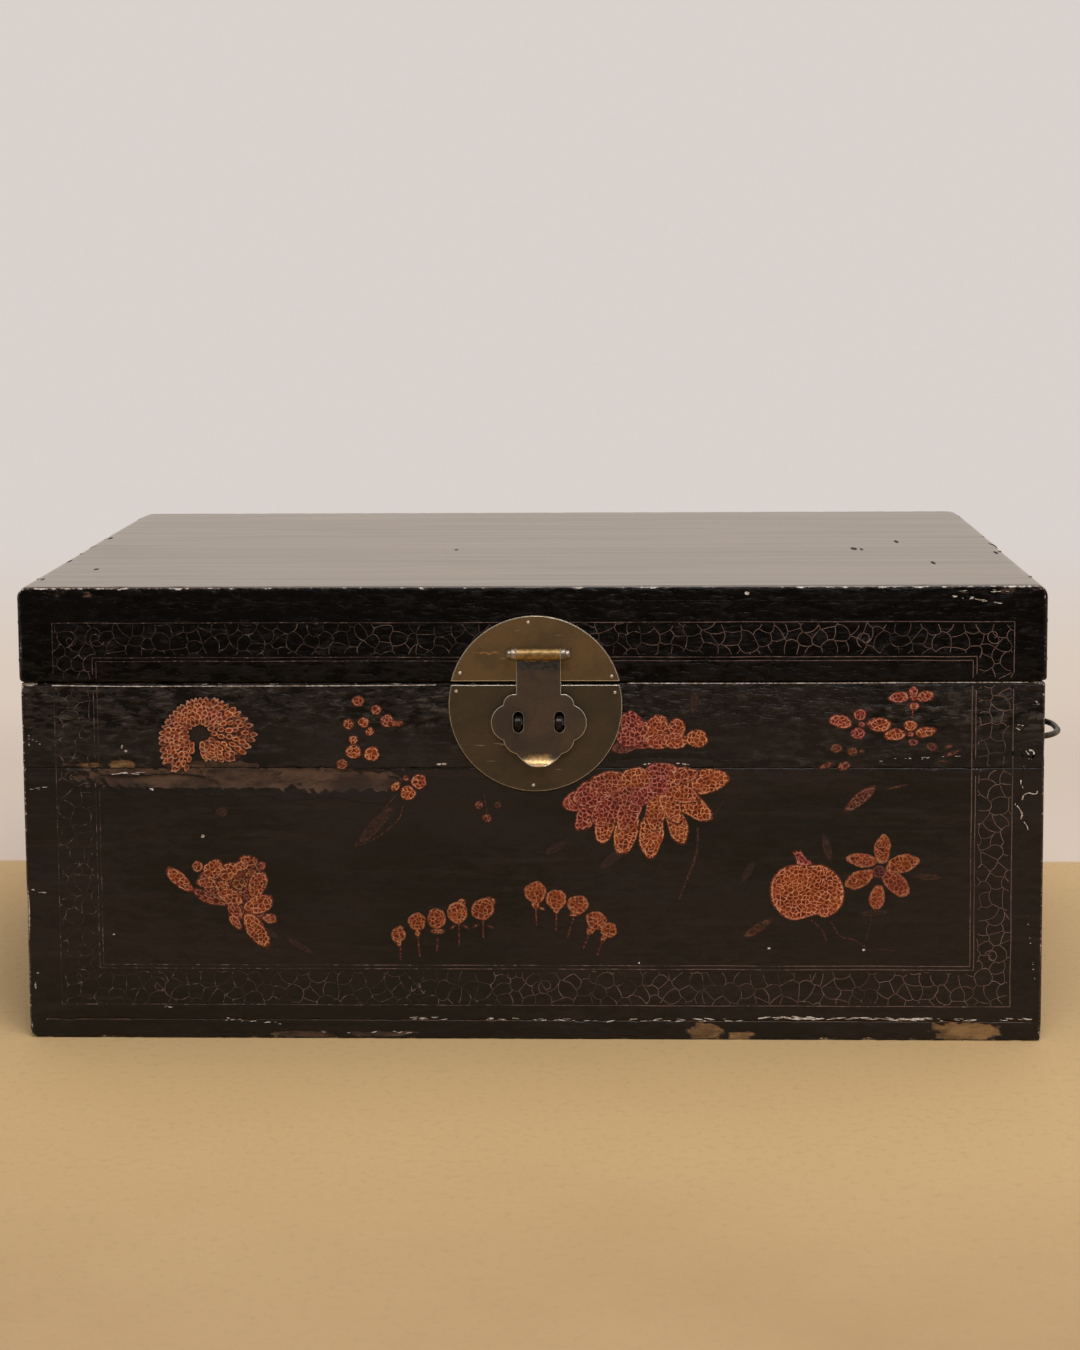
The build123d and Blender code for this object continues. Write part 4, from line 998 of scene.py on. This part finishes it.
CHIP_SPOTS = [  # u, v, length in mm, width in mm
    (769, 948.5, 2.2, 1.6), (863.6, 950, 2.2, 2.0), (203, 836, 3.0, 2.4), (114, 934.5, 2.5, 1.2),
    (126, 751, 3.0, 1.8), (122, 747, 1.5, 3.0), (639, 963, 1.5, 1.5), (747, 593, 3.2, 2.6),
    (38, 973, 1.6, 1.4),
]
# Pale strokes, written as the scars below: along the seam a worn edge with a painted highlight on it, and
# near the right edge painted glints round dents.
EDGE_AND_DENT_GLINTS = [
    (0.75, [(52, 685.5), (120, 686.3), (190, 686.2), (260, 686), (330, 685.8), (400, 685.3), (436, 685)]),
    (0.8, [(628, 683.2), (700, 683.3), (770, 683.2), (840, 683), (910, 682.6), (980, 682.4), (1028, 682.3)]),
    (1.0, [(1022, 800), (1024, 795), (1029, 793), (1035, 794), (1041, 791)]),
    (1.3, [(1015, 804), (1019, 808), (1022, 814), (1021, 819)]),
    (0.9, [(1021, 780), (1021, 784), (1023, 788)]),
    (1.3, [(1029, 750), (1033, 751), (1034, 755), (1031, 759)]),
    (0.8, [(1026, 751), (1029, 755), (1029, 759)]),
    (0.8, [(1024, 822), (1027, 826), (1028, 830)]), (0.7, [(1016, 728), (1020, 730)]),
]
# Black scars where the boards' joint has opened: (width in mm, points in the photograph).
SCARS = [
    (1.1, [(62, 783), (92, 790), (104, 784), (118, 794), (134, 797), (160, 796), (187, 792), (215, 796),
           (240, 799), (262, 796), (290, 801), (325, 797), (360, 802), (386, 804)]),
    (1.5, [(332, 766), (360, 768), (392, 767), (420, 769), (470, 768)]),
    (5.0, [(608, 759), (628, 757), (660, 755), (700, 756), (722, 761)]),
    (2.2, [(722, 761), (745, 763), (770, 761), (800, 764)]),
    (2.6, [(884, 762), (897, 760), (908, 764), (922, 760), (934, 763)]),
    (1.2, [(100, 775), (130, 776), (175, 774), (205, 777)]),
    (3.4, [(1003, 755), (1012, 753), (1022, 755), (1030, 757), (1040, 753)]),
    (1.4, [(1020, 732), (1028, 724), (1040, 716)]),
    (1.2, [(1021, 744), (1023, 764), (1021, 790), (1016, 806)]),
]


def damage():
    """Chips that show the lacquer's pale ground, painted highlights in the same pale paint, and black scars
    along the boards' joint.
    """
    rng = random.Random(8)
    chest, lid = Painting("pale_chips_and_glints_chest"), Painting("pale_chips_lid", "lid")
    for u0, v0, u1, v1, count, long, wide in PALE_MARK_ROWS:
        part = lid if v0 < SEAM_V else chest
        for _ in range(count):
            t = rng.random()
            u, v = u0 + (u1 - u0) * t, v0 + (v1 - v0) * t + rng.uniform(-1.2, 1.2)
            grown = rng.uniform(0.4, 1.3)
            part.flat_mark(u, v, long * grown, wide * grown * rng.uniform(0.7, 1.2), rng.uniform(-12, 12), rng)
    for u, v, long, wide in CHIP_SPOTS:
        (lid if v < SEAM_V else chest).flat_mark(u, v, long, wide, 0, rng)
    for width, path in EDGE_AND_DENT_GLINTS:
        line = [(min(x, FLAT_HALF), z) for x, z in photo_path(path, steps=4 if len(path) < 6 else 24)]
        chest.stroke(line, [width * rng.uniform(0.35, 1.0) for _ in line], inner=0.5)
    chest.made(PALE_GROUND_AND_GLINT)
    lid.made(PALE_GROUND_AND_GLINT)
    scars = Painting("black_scars")
    for width, path in SCARS:
        line = [(x, z + 0.9 * wave(x / 4, z, 5)) for x, z in photo_path(path, steps=8) if x < FLAT_HALF]
        scars.stroke(line, [width * (0.6 + 0.9 * abs(wave(x / 6, 2, 7))) for x, _ in line])
    scars.made(SCAR)


OUTER = (-330.4, 332.0, 24.4, 295.0)  # the border's outer line: low x, high x, low z, high z
INNER = (-303.0, 306.6, 50.4, 270.8)  # the same of the line inside the cracked ice
KEEP_FROM_EDGES = 2.0  # paint stops short of the rounded edges at the seam
CRACK_SPACING = 9.6  # mm between the middles of the border's cells
CURLS = [  # x, z, radius in mm, and the angle at which each spiral ends
    (-318, 205, 6, 200), (-319, 187, 5, 20), (-314, 45, 6, 90), (-262, 38, 7, 0), (-318, 283, 5, 270),
    (-300, 284, 6, 180), (10, 38, 6, 90), (-80, 37, 6, 180), (318, 285, 6, 180), (319, 60, 5, 0),
    (230, 283, 6, 90), (-318, 120, 6, 10),
]


def in_border(x, z):
    """True between the border's outer line and its inner ones."""
    outside = OUTER[0] + 0.5 < x < OUTER[1] - 0.5 and OUTER[2] + 0.5 < z < OUTER[3] - 0.5
    within = INNER[0] - 1.6 < x < INNER[1] + 1.6 and INNER[2] - 1.6 < z < INNER[3] + 1.6
    return outside and not within


def everywhere(x, z):
    return True


def side_of_seam(z):
    """The Painting that a border point at height z belongs to, or None at the seam and the boards' joint."""
    if z > LID_BOTTOM + KEEP_FROM_EDGES:
        return "lid"
    if z < BODY_TOP - KEEP_FROM_EDGES and abs(z - BOARD_JOINT) > 1.1:
        return "chest"
    return None


def cell_edges(sites):
    """Edges of the cells nearest to each site, as pairs of (x, z) points."""
    corners, _, triangles, *_ = geometry.delaunay_2d_cdt([Vector(s) for s in sites], [], [], 0, 1e-6)
    centres, beside = [], {}
    for n, (i, j, k) in enumerate(triangles):
        a, b, c = corners[i], corners[j], corners[k]
        ab, ac = b - a, c - a
        twice = 2 * (ab.x * ac.y - ab.y * ac.x)
        if abs(twice) < 1e-9:
            centres.append(None)
            continue
        ux = (ac.y * ab.length_squared - ab.y * ac.length_squared) / twice
        uz = (ab.x * ac.length_squared - ac.x * ab.length_squared) / twice
        centres.append(np.array((a.x + ux, a.y + uz)))
        for pair in ((i, j), (j, k), (k, i)):
            beside.setdefault(frozenset(pair), []).append(n)
    return [(centres[p[0]], centres[p[1]]) for p in beside.values() if len(p) == 2]


def draw_runs(points, parts, width, thick=0.05, keep=in_border):
    """Draws each run of points that keep() allows on the body that it lies on."""
    run, on = [], None
    for q in [*points, None]:
        body = side_of_seam(q[1]) if q is not None and keep(*q) else None
        if body != on:
            if on and len(run) > 1:
                parts[on].stroke(run, width, thick=thick)
            run, on = [], body
        if body:
            run.append(q)


def spaced(low, high, step):
    """Places from low up to high, a step apart."""
    while low < high:
        yield low
        low += step


def border():
    """The border's straight lines and its cracked-ice lines, on the chest and on the lid."""
    parts = {"chest": Painting("border_chest"), "lid": Painting("border_lid", "lid")}
    rng = random.Random(11)
    inmost = (INNER[0] + 2.6, INNER[1] - 2.6, INNER[2] + 2.6, INNER[3] - 2.6)
    for low_x, high_x, low_z, high_z in (OUTER, INNER, inmost):
        corners = [(low_x, low_z), (high_x, low_z), (high_x, high_z), (low_x, high_z), (low_x, low_z)]
        for (x0, z0), (x1, z1) in zip(corners, corners[1:]):
            count = math.ceil(math.hypot(x1 - x0, z1 - z0) / 6)
            line = [(x0 + (x1 - x0) * i / count, z0 + (z1 - z0) * i / count) for i in range(count + 1)]
            line = [(x + 0.35 * wave(x, z, 3, 30), z + 0.35 * wave(x, z, 9, 30)) for x, z in line]
            draw_runs(line, parts, 0.48, keep=everywhere)
    gap, near = CRACK_SPACING, 2 * CRACK_SPACING
    sites = [(x + rng.uniform(-4.6, 4.6), z + rng.uniform(-4.6, 4.6))
             for x in spaced(OUTER[0] - gap, OUTER[1] + gap, gap)
             for z in spaced(OUTER[2] - gap, OUTER[3] + gap, gap)]
    sites = [(x, z) for x, z in sites
             if not (INNER[0] + near < x < INNER[1] - near and INNER[2] + near < z < INNER[3] - near)]
    for a, b in cell_edges(sites):
        length = np.linalg.norm(b - a)
        if length > 60:
            continue
        bend = np.array((-(b - a)[1], (b - a)[0])) * rng.uniform(-0.2, 0.2)
        steps = np.linspace(0, 1, max(2, math.ceil(length / 2)) + 1)
        line = [a + (b - a) * t + bend * math.sin(math.pi * t) for t in steps]
        draw_runs(line, parts, rng.uniform(0.28, 0.52), 0.045)
    for x, z, size, end in CURLS:
        spiral = [(size * t / 40, math.radians(end + 13 * t)) for t in range(8, 41)]
        draw_runs([(x + r * math.cos(a), z + r * math.sin(a)) for r, a in spiral], parts, 0.5, 0.047)
    for part in parts.values():
        part.made(LINE_PAINT)


flowers()
border()
damage()

# ---------------------------------------------------------------- floor, light and camera

BACKDROP = (0.7, 0.64, 0.61)
FLOOR_RADIUS = 5000  # mm


def floor():
    """A pale floor that fades into the backdrop's colour away from the chest."""
    p = Paint("pale_floor")
    grit = p.noise(160, 3, 0.6)
    colour = p.mix(p.step(p.noise(3.5, 5, 0.6), 0.3, 0.7), (0.52, 0.35, 0.178), (0.47, 0.306, 0.15))
    # Painted light: the floor in front of the chest is paler, where the chest's own shade would darken it.
    colour = p.mix(p.step(p.y, -0.75, -0.3, 0, 0.75), colour, (0.7, 0.485, 0.23))
    colour = p.mix(p.step(grit, 0.5, 0.75, 0, 0.3), colour, (0.4, 0.28, 0.15))
    colour = p.mix(p.step(p.y, 0.262, 0.272), colour, (0.78, 0.66, 0.57))
    material = p.done(Base_Color=colour, Roughness=0.8, Normal=p.bump(grit, 0.0008, 0.3))
    plain = p.add("Emission", p.mix(p.step(p.y, 0.9, 2.7), (0.7, 0.585, 0.49), BACKDROP)).outputs[0]
    seen = p.times(p.step(p.y, 0.5, 1.1), p.add("LightPath").outputs["Is Camera Ray"])
    fade = p.add("MixShader", seen, p.shader.outputs[0], plain).outputs[0]
    p.put(p.tree.nodes["Material Output"].inputs["Surface"], fade)
    turns = [t * math.pi / 32 for t in range(64)]
    ring = [(FLOOR_RADIUS * math.cos(t), FLOOR_RADIUS * math.sin(t), 0) for t in turns]
    plane = linked("floor", surface("floor", ring, [tuple(range(64))], [material]))
    plane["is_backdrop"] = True


def sky():
    """A room that is bright low behind the chest, for the lid to mirror, and dimmer in front and overhead."""
    world = bpy.data.worlds.new("studio")
    bpy.context.scene.world = world
    world.use_nodes = True
    w = Nodes(world.node_tree)
    way = w.add("SeparateXYZ", w.add("TexCoord").outputs["Generated"]).outputs
    room = w.mix(w.step(way[1], -0.75, 0.15), (0.4, 0.385, 0.37), (0.77, 0.69, 0.63))
    room = w.mix(w.step(way[2], 0.4, 0.85), room, (0.3, 0.285, 0.275))
    seen = w.add("LightPath").outputs["Is Camera Ray"]
    w.put(w.tree.nodes["Background"].inputs["Color"], w.mix(seen, room, BACKDROP))


def lamp(name, place, target, size, power, colour=(1, 1, 1)):
    light = bpy.data.lights.new(name, "AREA")
    light.shape, light.size, light.energy, light.color = "DISK", size, power, colour
    made = linked(name, light)
    made.location = place
    made.rotation_euler = (Vector(target) - Vector(place)).to_track_quat("-Z", "Y").to_euler()


def camera():
    data = bpy.data.cameras.new("camera")
    data.sensor_width = 36.0
    data.lens = FOCAL / FRAME[1] * data.sensor_width
    data.shift_y = (AXIS[1] - FRAME[1] / 2) / FRAME[1]
    made = linked("camera", data)
    made.matrix_world = Matrix.Translation(EYE) @ Matrix((RIGHT, UP, -FORWARD)).transposed().to_4x4()
    bpy.context.scene.camera = made


floor()
sky()
lamp("key", (0.35, -1.4, 2.4), (0, -0.15, 0.1), 1.6, 40, (1, 0.97, 0.94))
lamp("top", (0.3, 0.4, 2.4), (0, 0, 0.2), 1.8, 9)
camera()
bpy.context.scene.view_settings.view_transform = "Standard"

[[list(corner) for corner in box] for box in (cad_box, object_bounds())]
